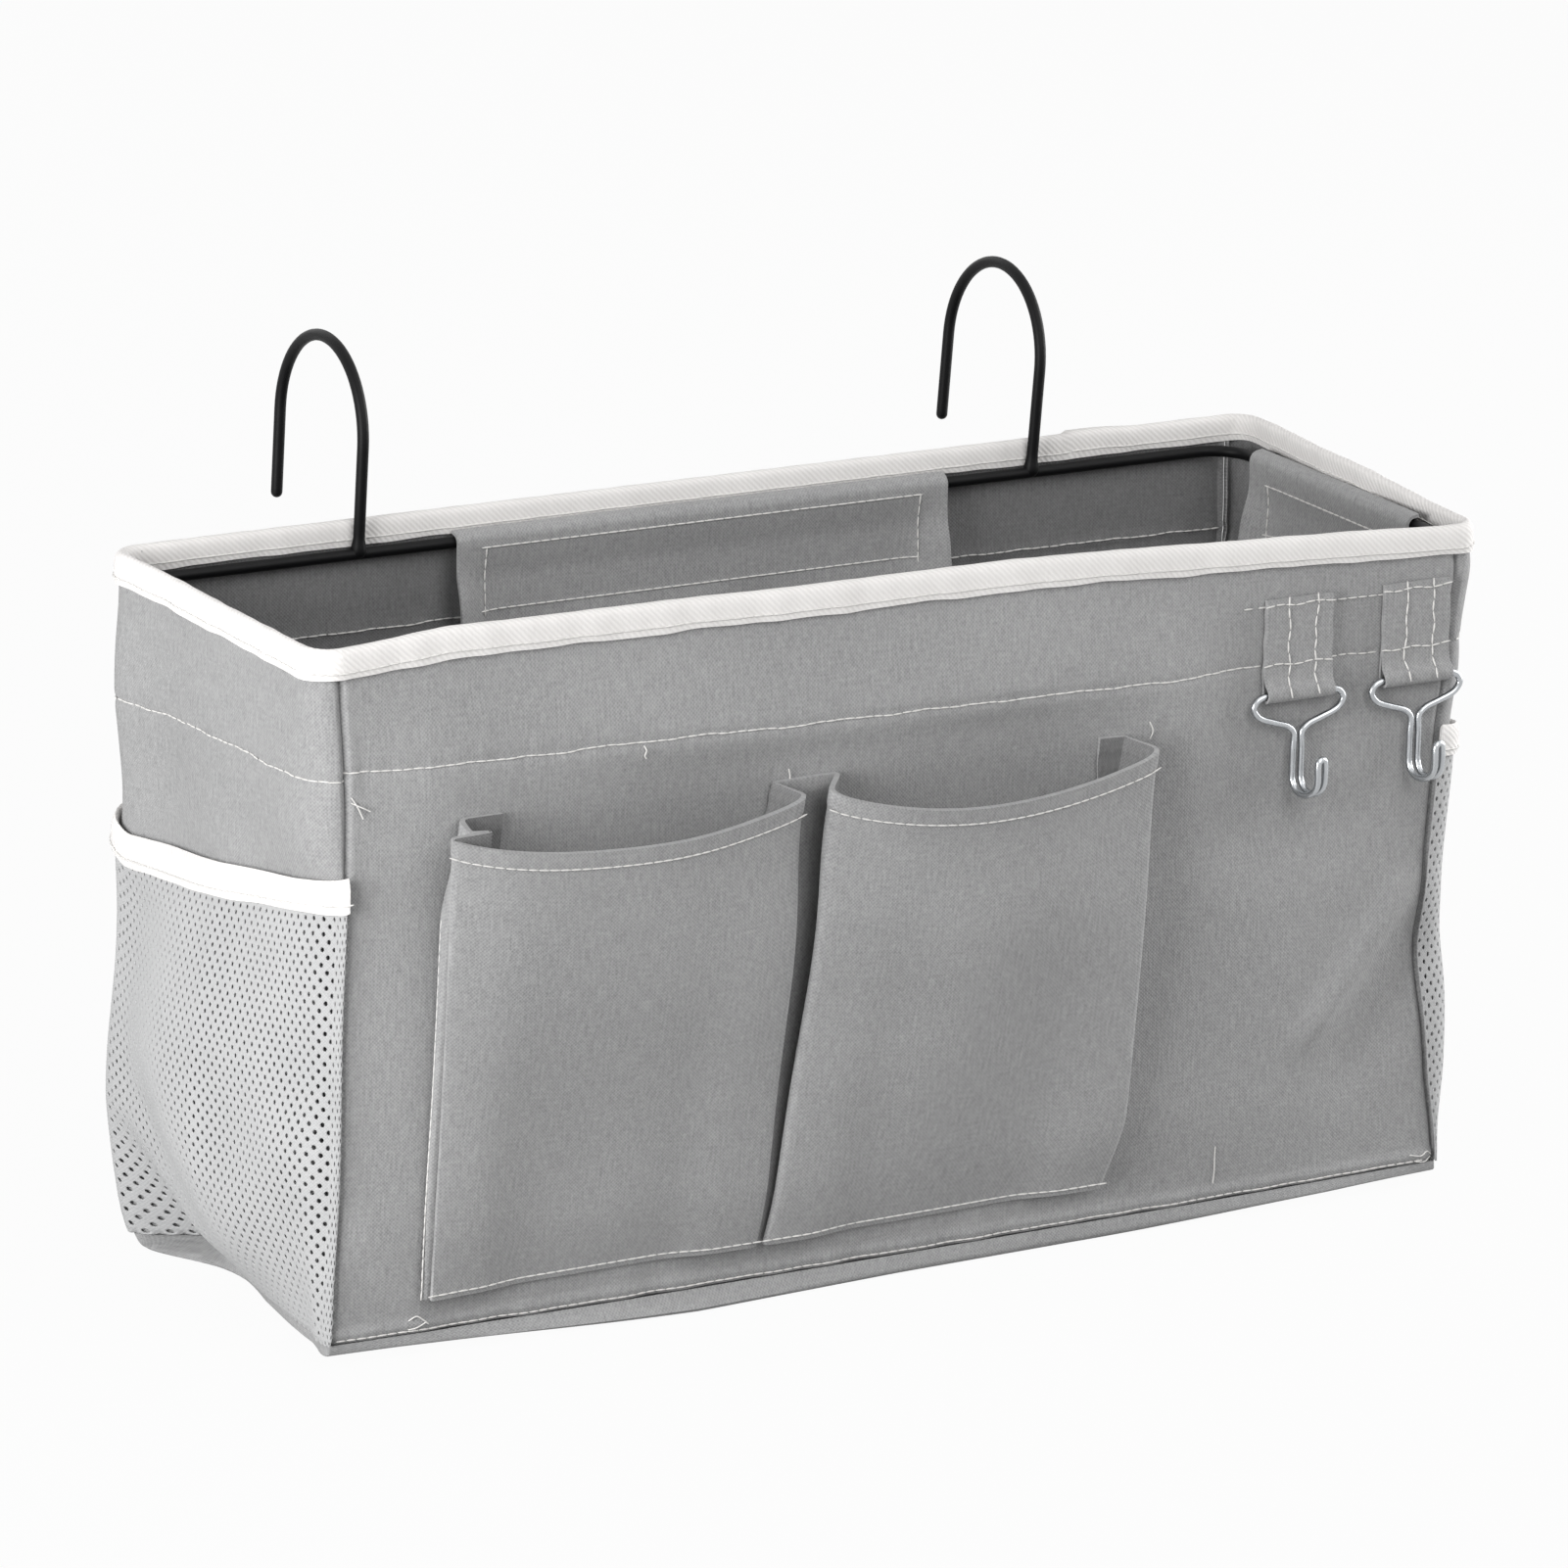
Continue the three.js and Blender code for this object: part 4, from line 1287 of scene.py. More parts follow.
    def base(self) -> Object:
        """Makes the base, which turns up to the walls' seam.

        Returns:
            The cloth.
        """
        box, outline = self.shop.box, self.shop.outline
        cells = (self.base_cell, self.base_edge_cell, self.base_edge_band)
        wide = spaced(-outline.half_x, outline.half_x, *cells)
        deep = spaced(-outline.half_y, outline.half_y, *cells)[::-1]
        x, y = np.meshgrid(wide, deep)
        inner_x, inner_y, r = outline.half_x - outline.radius, outline.half_y - outline.radius, outline.radius
        past_x = np.maximum(np.abs(x) - inner_x, 0.0)
        past_y = np.maximum(np.abs(y) - inner_y, 0.0)
        round_x = past_x * np.sqrt(1.0 - past_y ** 2 / (2.0 * r * r))
        round_y = past_y * np.sqrt(1.0 - past_x ** 2 / (2.0 * r * r))
        x = np.sign(x) * (np.minimum(np.abs(x), inner_x) + round_x)
        y = np.sign(y) * (np.minimum(np.abs(y), inner_y) + round_y)
        in_corner = (past_x > 0.0) & (past_y > 0.0)
        edge = np.minimum(outline.half_x - np.abs(x), outline.half_y - np.abs(y))
        edge = np.where(in_corner, r - np.hypot(round_x, round_y), edge)
        share = 1.0 - np.clip(edge / box.base_turn, 0.0, 1.0)
        z = box.base_seam * (1.0 - np.sqrt(np.clip(1.0 - share ** 2, 0.0, 1.0)))
        z += 0.5 * (1.0 + ripple(x, y, 70.0, 31)) * ease(8.0, 30.0, edge)
        grid = self.shop.hang(x, y, z)
        flat = flat_grid(lengths(grid[len(deep) // 2]), lengths(grid[:, len(wide) // 2]))
        cloth = cloth_object("base_cloth", grid, flat, box.cloth)
        self.shop.mount(cloth, Slot.CLOTH, "caddy", ["base_panel"])
        return cloth

    def sew(self) -> None:
        """Lays the hem row, outside and inside, the rows along the base seam and the row beside the tabs."""
        box, outline, sewing = self.shop.box, self.shop.outline, self.shop.sewing
        all_round = np.arange(0.0, outline.length, self.row_step)
        waver = 0.35 * ripple(all_round, 0.0 * all_round, 22.0, 9)
        level = self.hem(all_round)
        clear = np.ones(all_round.shape, bool)
        for wall in (Wall.BACK, Wall.LEFT):
            clear &= np.abs(all_round - outline.start_of(wall)) > 1.5
        within = stretches(clear)
        for run in self.tab_runs:
            clear &= np.abs(all_round - run) > self.tab_clear
        for part in stretches(clear):
            sewing.row("caddy", self.surface(all_round[part], level[part] + waver[part], self.row_out))
        for part in within:
            inside = -box.cloth - self.row_out
            sewing.row("caddy", self.surface(all_round[part], level[part] - waver[part], inside))
        for wall in (Wall.FRONT, Wall.BACK):
            margin = self.foot_row_margin
            run = outline.start_of(wall) + np.arange(margin, outline.long_side - margin, self.row_step)
            sewing.row("caddy", self.surface(run, box.base_seam + self.foot_row, self.foot_row_out))
        first, second = self.tab_runs
        clear_of = self.tab_clear
        for start, end in ((first - self.tab_tail, first - clear_of), (first + clear_of, second - clear_of)):
            sewing.row("caddy", self.surface(np.linspace(start, end, 8), self.tab_row_z, self.foot_row_out))


@dataclass
class RimTape:
    """The tape folded over the rim, with its two rows of stitches, in mm."""

    shop: Workshop
    outside: float = 8.7
    inside: float = 7.5
    thick: float = 1.0
    step: float = 2.0
    edge_waves: tuple[Triple, ...] = ((0.22, 17.0, 1.0), (0.14, 29.0, 0.0), (0.1, 53.0, 2.0))
    puff_waves: tuple[Triple, ...] = ((0.12, 53.0, 0.0), (0.1, 88.0, 1.5))
    join_at: float = 55.0
    join_out: float = 0.8
    join_up: float = 0.7
    row_up: float = 2.0
    rows_out: Pair = (1.72, -2.8)

    def waved(self, run: Array, waves: tuple[Triple, ...]) -> Array:
        """Sums sines that close round the rim, each given by its height, number and phase."""
        around = 2.0 * math.pi * run / self.shop.outline.length
        return sum(height * np.sin(number * around + phase) for height, number, phase in waves)

    def section(self) -> Array:
        """Gives the fold from its outer edge over the rim to its inner edge, as out and height."""
        top = self.shop.box.height
        return rounded_path(
            (
                (1.35, top - self.outside),
                (1.6, top - 5.5),
                (1.5, top - 2.4),
                (0.9, top - 0.6),
                (-0.6, top + 0.2),
                (-2.1, top - 0.7),
                (-2.6, top - 2.6),
                (-2.7, top - 5.0),
                (-2.6, top - self.inside),
            ),
            25,
        )

    def surface(self, run: Number, out: Number, z: Number) -> Array:
        """Gives points of the tape as it hangs.

        Args:
            run: Distance along the outline.
            out: Distance out of the true wall.
            z: Height on the true box.

        Returns:
            Points in mm.
        """
        run, out, z = together(run, out, z)
        low = ease(self.shop.box.height - 5.0, self.shop.box.height - 9.5, z)
        uneven, puff = self.waved(run, self.edge_waves), self.waved(run, self.puff_waves)
        # The tape's end overlaps its start on the back
        join_start = self.shop.outline.start_of(Wall.BACK) + self.join_at
        join = ease(join_start, join_start - 1.2, run) * ease(join_start - 26.0, join_start - 12.0, run)
        x, y = self.shop.outline.walk(run, out + (puff + self.join_out * join) * np.sign(out + 0.6))
        return self.shop.hang(x, y, z + uneven * low + self.join_up * join * (1.0 - low))

    def build(self) -> None:
        """Makes the tape and sews it."""
        outline, section = self.shop.outline, self.section()
        count = round(outline.length / self.step)
        run = np.arange(count) * outline.length / count
        grid = self.surface(run[None, :], section[:, :1], section[:, 1:])
        across = lengths(section)
        ring = np.append(run, outline.length)
        tape = cloth_object("rim_tape", grid, flat_grid(ring, across), self.thick, closed=True)
        self.shop.mount(tape, Slot.TAPE, "caddy", ["rim_binding"])
        for out, edge in zip(self.rows_out, (self.outside, self.inside)):
            self.shop.sewing.row("caddy", self.surface(ring, out, self.shop.box.height - edge + self.row_up))


@dataclass
class WireWork:
    """The black wire ring inside the rim and the two hooks welded to it, in mm."""

    shop: Workshop
    wire: float = 3.5
    inset: float = 4.55
    ring_z: float = 200.45
    bend: float = 12.0
    hook_x: float = 114.0
    hook_span: float = 55.0
    hook_bend_z: float = 231.95
    hook_tip_z: float = 206.45
    left_lean: float = 2.5
    right_lean: float = 4.0
    weld_up: float = 0.9
    bead: float = 0.7
    bead_reach: float = 2.2
    sides: int = 18

    def ring(self) -> None:
        """Makes the ring."""
        box = self.shop.box
        outline = Outline(box.width / 2 - self.inset, box.depth / 2 - self.inset, self.bend)
        run = np.arange(0.0, outline.length - 1.0, 2.0)
        x, y = outline.walk(run)
        path = np.stack([x, y, np.full(run.shape, self.ring_z)], axis=-1)
        ring = wire_object("ring_wire", path, self.wire / 2, self.sides, closed=True)
        self.shop.mount(ring, Slot.BLACK, "caddy", ["wire_frame"])

    def hook(self, name: str, x: float, lean: float) -> None:
        """Makes one hook, with the bead of its weld at the foot.

        Args:
            name: Side of the hook.
            x: Place along the ring.
            lean: Lean towards +X in degrees.
        """
        y = self.shop.box.depth / 2 - self.inset
        radius = self.hook_span / 2
        up = np.linspace(self.ring_z + self.weld_up, self.hook_bend_z, 20)[:-1]
        turn = np.linspace(0.0, math.pi, 40)
        down = np.linspace(self.hook_bend_z, self.hook_tip_z, 16)[1:]
        above = np.concatenate([up, self.hook_bend_z + radius * np.sin(turn), down]) - self.ring_z
        reach = np.concatenate([0.0 * up, radius * (1.0 - np.cos(turn)), self.hook_span + 0.0 * down])
        tilt = math.radians(lean)
        across, rise = x + above * math.sin(tilt), self.ring_z + above * math.cos(tilt)
        path = np.stack([across, y + reach, rise], axis=-1)
        thick = self.wire / 2 + self.bead * mound(lengths(path), 0.0, self.bead_reach)
        hook = wire_object(f"{name}_hook_wire", path, thick, self.sides)
        self.shop.mount(hook, Slot.BLACK, "caddy", [f"{name}_hang_hook"])

    def build(self) -> None:
        """Makes the ring and both hooks."""
        self.ring()
        self.hook("left", -self.hook_x, self.left_lean)
        self.hook("right", self.hook_x, self.right_lean)


@dataclass(frozen=True)
class Pile:
    """Face of a closing strip: spacing, rows, radius and wire radius in mm of its loops, and their turn."""

    pitch: float
    rows: int
    loop: float
    wire: float
    swing: float


HOOKS = Pile(1.9, 6, 0.42, 0.13, 0.1)
LOOPS = Pile(1.5, 8, 0.5, 0.09, 1.6)


@dataclass
class RingFlap:
    """A flap that folds over the ring and closes on the wall by two strips, in mm."""

    shop: Workshop
    wall: Wall
    width: float
    thick: float = 1.0
    root: Pair = (2.0, 203.4)
    ring: Pair = (3.35, 200.45)
    wrap: float = 2.65
    hang: float = 3.9
    hang_z: float = 187.5
    low_z: float = 174.0
    cells: Triple = (2.6, 0.8, 6.0)
    curl: float = 0.9
    edge_lift: Pair = (0.25, 5.0)
    strip_z: Pair = (176.0, 190.0)
    strip_margin: float = 9.0
    strip_thick: float = 0.55
    strip_sag: float = 0.12
    strip_columns: Triple = (2.5, 0.6, 2.4)
    strip_rows: Triple = (1.4, 0.5, 1.5)
    flap_face: float = 2.45
    wall_face: float = 0.9
    pile_margin: float = 4.0
    row_in: float = 9.5
    row_up: float = 5.0
    long_row_down: float = 1.9
    short_row_down: float = 6.0
    row_step: float = 2.0

    @property
    def body(self) -> str:
        """Body that the flap's strip and stitching ride on."""
        return f"{self.wall.label}_flap"

    def place(self, along: Number, depth: Number, z: Number) -> Array:
        """Turns a place on the flap into a point.

        Args:
            along: Distance along the wall from its middle.
            depth: Distance in from the wall's inner side.
            z: Height.

        Returns:
            Points in mm.
        """
        along, depth, z = together(along, depth, z)
        box = self.shop.box
        nx, ny = self.wall.value
        reach = (box.depth if nx == 0.0 else box.width) / 2 - box.cloth - depth
        return np.stack([nx * reach + ny * along, ny * reach - nx * along, z], axis=-1)

    def section(self) -> Array:
        """Gives the middle of the flap from its lower edge up and over the ring, as depth and height."""
        to_root = np.subtract(self.root, self.ring)
        bend = math.atan2(to_root[1], to_root[0]) - math.acos(self.wrap / float(np.hypot(*to_root)))
        low = np.stack([np.full(14, self.hang), np.linspace(self.low_z, self.hang_z, 14)], axis=-1)
        share = np.linspace(0.0, 1.0, 9)[1:-1]
        outer = self.ring[0] + self.wrap
        swell_in = self.hang + (outer - self.hang) * ease(0.0, 1.0, share)
        swell = np.stack([swell_in, self.hang_z + (self.ring[1] - self.hang_z) * share], axis=-1)
        turn = np.linspace(0.0, bend, 9)
        round_in, round_z = self.ring[0] + self.wrap * np.cos(turn), self.ring[1] + self.wrap * np.sin(turn)
        arc = np.stack([round_in, round_z], axis=-1)
        rest = np.linspace(arc[-1], self.root, 7)[1:]
        return np.concatenate([low, swell, arc, rest])

    def lift(self, along: Number, z: Number) -> Array:
        """Gives how far the flap's free edges stand away from the wall.

        Args:
            along: Distance along the wall from its middle.
            z: Height.

        Returns:
            The distance.
        """
        along, z = together(along, z)
        curl = ease(self.strip_z[0] + 4.0, self.low_z, z) * (0.5 + 0.5 * ripple(along, z, 45.0, 41))
        margin = mound(self.width / 2 - np.abs(along), 0.0, 8.0)
        return self.curl * curl + (self.edge_lift[0] + self.edge_lift[1] * ease(200.0, 178.0, z)) * margin

    def cloth(self) -> None:
        """Makes the flap and sews its edge."""
        section = self.section()
        half = self.width / 2
        along = spaced(-half, half, *self.cells)
        depth, z = section[:, :1], section[:, 1:]
        grid = self.place(along[None, :], depth + self.lift(along[None, :], z), z)
        flat = flat_grid(along, lengths(section))
        cloth = cloth_object(f"{self.wall.label}_flap_cloth", grid, flat, self.thick, 0.5)
        self.shop.dress(cloth, Slot.CLOTH, [f"{self.wall.label}_flap"])
        start = self.place(0.0, self.root[0] - 0.2, self.root[1] + 0.6) * MM
        end = self.place(0.0, self.ring[0] + self.wrap, self.ring[1] + 0.4) * MM
        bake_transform(cloth)
        face = self.thick / 2 + 0.2
        edge = half - self.row_in
        down = self.long_row_down if self.wall.long else self.short_row_down
        low, high = self.low_z + self.row_up, self.ring[1] - down
        crest = int(np.argmax(section[:, 1]))

        def sew(along_at: Number, z_at: Number) -> None:
            """Lays one row on the flap's inner face."""
            lie = np.interp(z_at, section[:crest, 1], section[:crest, 0]) + face
            self.shop.sewing.row(self.body, self.place(along_at, lie + self.lift(along_at, z_at), z_at))

        for z_row in (low, high):
            sew(np.arange(-edge, edge + 0.1, self.row_step), z_row)
        for side in (-edge, edge):
            sew(side, np.arange(low, high, self.row_step))

    def strip(self, name: str, body: str, depth: float, into: float, tree: Tree, kind: Pile) -> None:
        """Makes one closing strip: its tape and the pile that stands on it.

        Args:
            name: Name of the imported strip.
            body: Body that it rides on.
            depth: Depth of the tape's face from the wall's inner side.
            into: Direction of the pile, 1 inwards and -1 towards the wall.
            tree: Recipe of the pile.
            kind: Stiff hooks, which are on the flap, or soft loops, which are on the wall.
        """
        low, high = self.strip_z
        size = self.width - 2.0 * self.strip_margin
        along = spaced(-size / 2, size / 2, *self.strip_columns) * into
        z = spaced(low, high, *self.strip_rows)
        sag = self.strip_sag * (1.0 - mound(np.minimum(size / 2 - np.abs(along), 3.0), 0.0, 1.0))
        lie = depth - into * self.strip_sag + into * sag[None, :]
        grid = self.place(along[None, :], lie, z[:, None])
        tape = cloth_object(f"{name}_tape", grid, flat_grid(along, z), self.strip_thick)
        self.shop.mount(tape, Slot.STRIP, body, [name])
        values = {
            "Length": (size - self.pile_margin) * MM,
            "Height": (high - low - 3.0) * MM,
            "Columns": round((size - self.pile_margin) / kind.pitch),
            "Rows": kind.rows,
            "Loop": kind.loop * MM,
            "Wire": kind.wire * MM,
            "Swing": kind.swing,
            "Material": self.shop.finishes[Slot.STRIP],
        }
        mesh = run_recipe(tree, values)
        x, y, rise = vertex_places(mesh).T
        place_vertices(mesh, self.place(x * into, depth + into * rise, (low + high) / 2 + y))
        pile = self.shop.mount(new_object(f"{name}_pile", mesh), Slot.STRIP, body)

    def build(self, tree: Tree) -> None:
        """Makes the flap and both of its strips.

        Args:
            tree: Recipe of the strips' pile.
        """
        self.cloth()
        self.strip(f"{self.wall.label}_flap_strip", self.body, self.flap_face, -1.0, tree, HOOKS)
        self.strip(f"{self.wall.label}_wall_strip", "caddy", self.wall_face, 1.0, tree, LOOPS)


@dataclass
class FrontPockets:
    """Two pockets from one pleated strip on the front wall, in mm."""

    shop: Workshop
    low_z: float = 18.0
    high_z: float = 156.0
    levels: tuple[float, ...] = (0.0, 0.16, 1.0)
    lefts: tuple[tuple[float, ...], ...] = ((-156.5, -156.5, -156.5), (-48.5, -46.4, -33.4))
    rights: tuple[tuple[float, ...], ...] = ((-49.5, -48.3, -41.4), (67.0, 72.0, 74.4))
    pleat: float = 13.0
    layer: float = 1.5
    back: float = 0.9
    opening: float = 10.0
    bow: float = 9.0
    dips: Pair = (5.8, 7.4)
    tilts: Pair = (2.8, 0.6)
    tip_down: float = 0.1
    hem: float = 4.9
    thick: float = 0.9
    cells: Triple = (2.6, 0.9, 8.0)
    face_columns: int = 56
    fold_columns: int = 8
    left_spread: float = 9.7
    right_draw: float = 12.2
    pleat_opens: Triple = (0.73, 0.41, 0.7)

    def front_line(self, pocket: int, share: Number, opened: Number) -> tuple[Array, Array]:
        """Gives the pocket's face.

        Args:
            pocket: 0 for the left pocket and 1 for the right one.
            share: Place from the left edge to the right one.
            opened: Share of the way up.

        Returns:
            The x and the distance out of the wall.
        """
        share, opened = together(share, opened)
        left = np.interp(opened, self.levels, self.lefts[pocket])
        width = np.interp(opened, self.levels, self.rights[pocket]) - left
        edge = width * np.minimum(share, 1.0 - share)
        out = self.back + 2.0 * self.layer + self.opening * opened
        out = out + self.bow * opened * np.sin(math.pi * share)
        out = out - 2.0 * self.layer * (1.0 - opened) * ease(self.pleat, 2.5 * self.pleat, edge)
        unrest = 0.9 * ripple(share * 110.0, opened * 138.0, 60.0, 61 + pocket)
        out = out + unrest * ease(0.0, 0.25, opened) * ease(0.0, 14.0, edge)
        return left + width * share, out

    def height(self, pocket: int, share: Number, opened: Number) -> Array:
        """Gives the height, with the dip of the mouth between its corners.

        Args:
            pocket: 0 for the left pocket and 1 for the right one.
            share: Place from the left edge to the right one.
            opened: Share of the way up.

        Returns:
            The height.
        """
        share = np.asarray(share, float)
        slack = np.clip(np.sin(math.pi * share), 0.0, 1.0) ** 0.6
        tall = self.high_z - self.low_z - self.dips[pocket] * slack + self.tilts[pocket] * (1.0 - share)
        return self.low_z + tall * opened

    def settle(self, x: Array, out: Array, z: Array) -> Array:
        """Places points beside the front wall as it hangs."""
        return self.shop.hang(x, -self.shop.box.depth / 2 - out, z)

    def outer_fold(self, opened: Number) -> Array:
        """Gives the x of the fold that shows beside the left pocket."""
        opened = np.asarray(opened, float)
        return self.lefts[0][0] - 0.4 + 5.0 * opened ** 1.3 + 4.9 * ease(0.78, 1.0, opened)

    def pleats(self, pocket: int, opened: float) -> tuple[list[Pair], list[Pair]]:
        """Gives the folds of the strip before and after a pocket's face.

        Args:
            pocket: 0 for the left pocket and 1 for the right one.
            opened: Share of the way up.

        Returns:
            For each side the folds in order, as x and distance out.
        """
        face_x, face_out = self.front_line(pocket, np.array([0.0, 1.0]), opened)
        left, right = (float(v) for v in face_x)
        out_left, out_right = (float(v) for v in face_out)
        back, inner = self.back, self.back + self.layer
        rise = opened ** 2
        if pocket == 0:
            outer = float(self.outer_fold(opened))
            room = out_left - back
            into = [
                (left + self.pleat + self.left_spread * opened, back),
                (outer, back),
                (outer - 2.0 * opened, back + (0.33 + 0.45 * opened) * room),
                (left + self.pleat + 1.5 * opened, back + (0.67 + 0.21 * opened) * room),
                (left, out_left - 0.4),
            ]
            turn = right - self.pleat * (1.0 - self.pleat_opens[0] * rise)
            out_of = [(right, out_right - self.layer), (turn, inner), (turn, back), (right - 2.0, back)]
            return into, out_of
        turn = left + self.pleat * (1.0 - self.pleat_opens[1] * rise)
        into = [(left + 2.0, back), (turn, back), (turn, inner), (left, out_left - self.layer)]
        turn = right - self.pleat * (1.0 - self.pleat_opens[2] * rise)
        end = right - self.right_draw * float(ease(0.55, 0.95, opened))
        return into, [(right, out_right - self.layer), (turn, inner), (turn, back), (end, back)]

    def folded(self, folds: list[Pair]) -> Array:
        """Gives points along a line of folds, evenly spread over each piece of it."""
        line = np.asarray(folds)
        parts = [np.linspace(a, b, self.fold_columns, endpoint=False) for a, b in zip(line[:-1], line[1:])]
        return np.concatenate([*parts, line[-1:]])

    def row_of(self, opened: float) -> tuple[Array, Array, Array]:
        """Gives one level line of the strip with its pleats.

        Args:
            opened: Share of the way up.

        Returns:
            The x, the distance out and the height of its points.
        """
        places: list[Array] = []
        heights: list[Array] = []
        share = np.linspace(0.0, 1.0, self.face_columns)
        for pocket in (0, 1):
            into, out_of = (self.folded(folds) for folds in self.pleats(pocket, opened))
            places += [into, np.stack(self.front_line(pocket, share, opened), axis=-1), out_of]
            first, last = (float(self.height(pocket, end, opened)) for end in (0.0, 1.0))
            heights += [
                np.full(len(into), first), self.height(pocket, share, opened), np.full(len(out_of), last)
            ]
        line = smoothed(np.concatenate(places))
        z = smoothed(np.concatenate(heights)) - self.tip_down * opened * (line[:, 1] - self.back)
        return line[:, 0], line[:, 1], z

    def build(self) -> None:
        """Makes the strip and sews its hems, foot and pleat edges."""
        span = self.high_z - self.low_z
        opened = spaced(0.0, 1.0, *(cell / span for cell in self.cells))
        rows = [self.row_of(float(o)) for o in opened]
        grid = np.stack([self.settle(*row) for row in rows])
        middle = lengths(grid[len(grid) // 2])
        flat = flat_grid(middle, opened * span)
        doubled = 1.0 + 0.7 * ease(1.0 - (self.hem + 0.6) / span, 1.0 - self.hem / span, opened)[:, None]
        strip = cloth_object("front_pocket_cloth", grid, flat, self.thick * doubled, 0.5)
        self.shop.mount(strip, Slot.CLOTH, "caddy", ["front_pocket_strip"])
        sewing = self.shop.sewing
        face = self.thick / 2 + 0.25
        hem_at = 1.0 - (self.hem + 0.3) / span
        for pocket in (0, 1):
            share = np.linspace(0.01, 0.99, 60)
            x, out = self.front_line(pocket, share, hem_at)
            drop = self.tip_down * hem_at * (out - self.back)
            sewing.row("caddy", self.settle(x, out + face, self.height(pocket, share, hem_at) - drop))
            x, out = self.front_line(pocket, share, 0.0)
            sewing.row("caddy", self.settle(x, out + face + 0.1, self.low_z + 1.6 + 0.0 * x))
        up = np.linspace(0.01, 0.79, 54)
        out = self.back + 0.4 + 0.2 * np.asarray(self.front_line(0, 0.0, up)[1])
        sewing.row("caddy", self.settle(self.outer_fold(up) - 0.9, out, self.height(0, 0.0, up)))


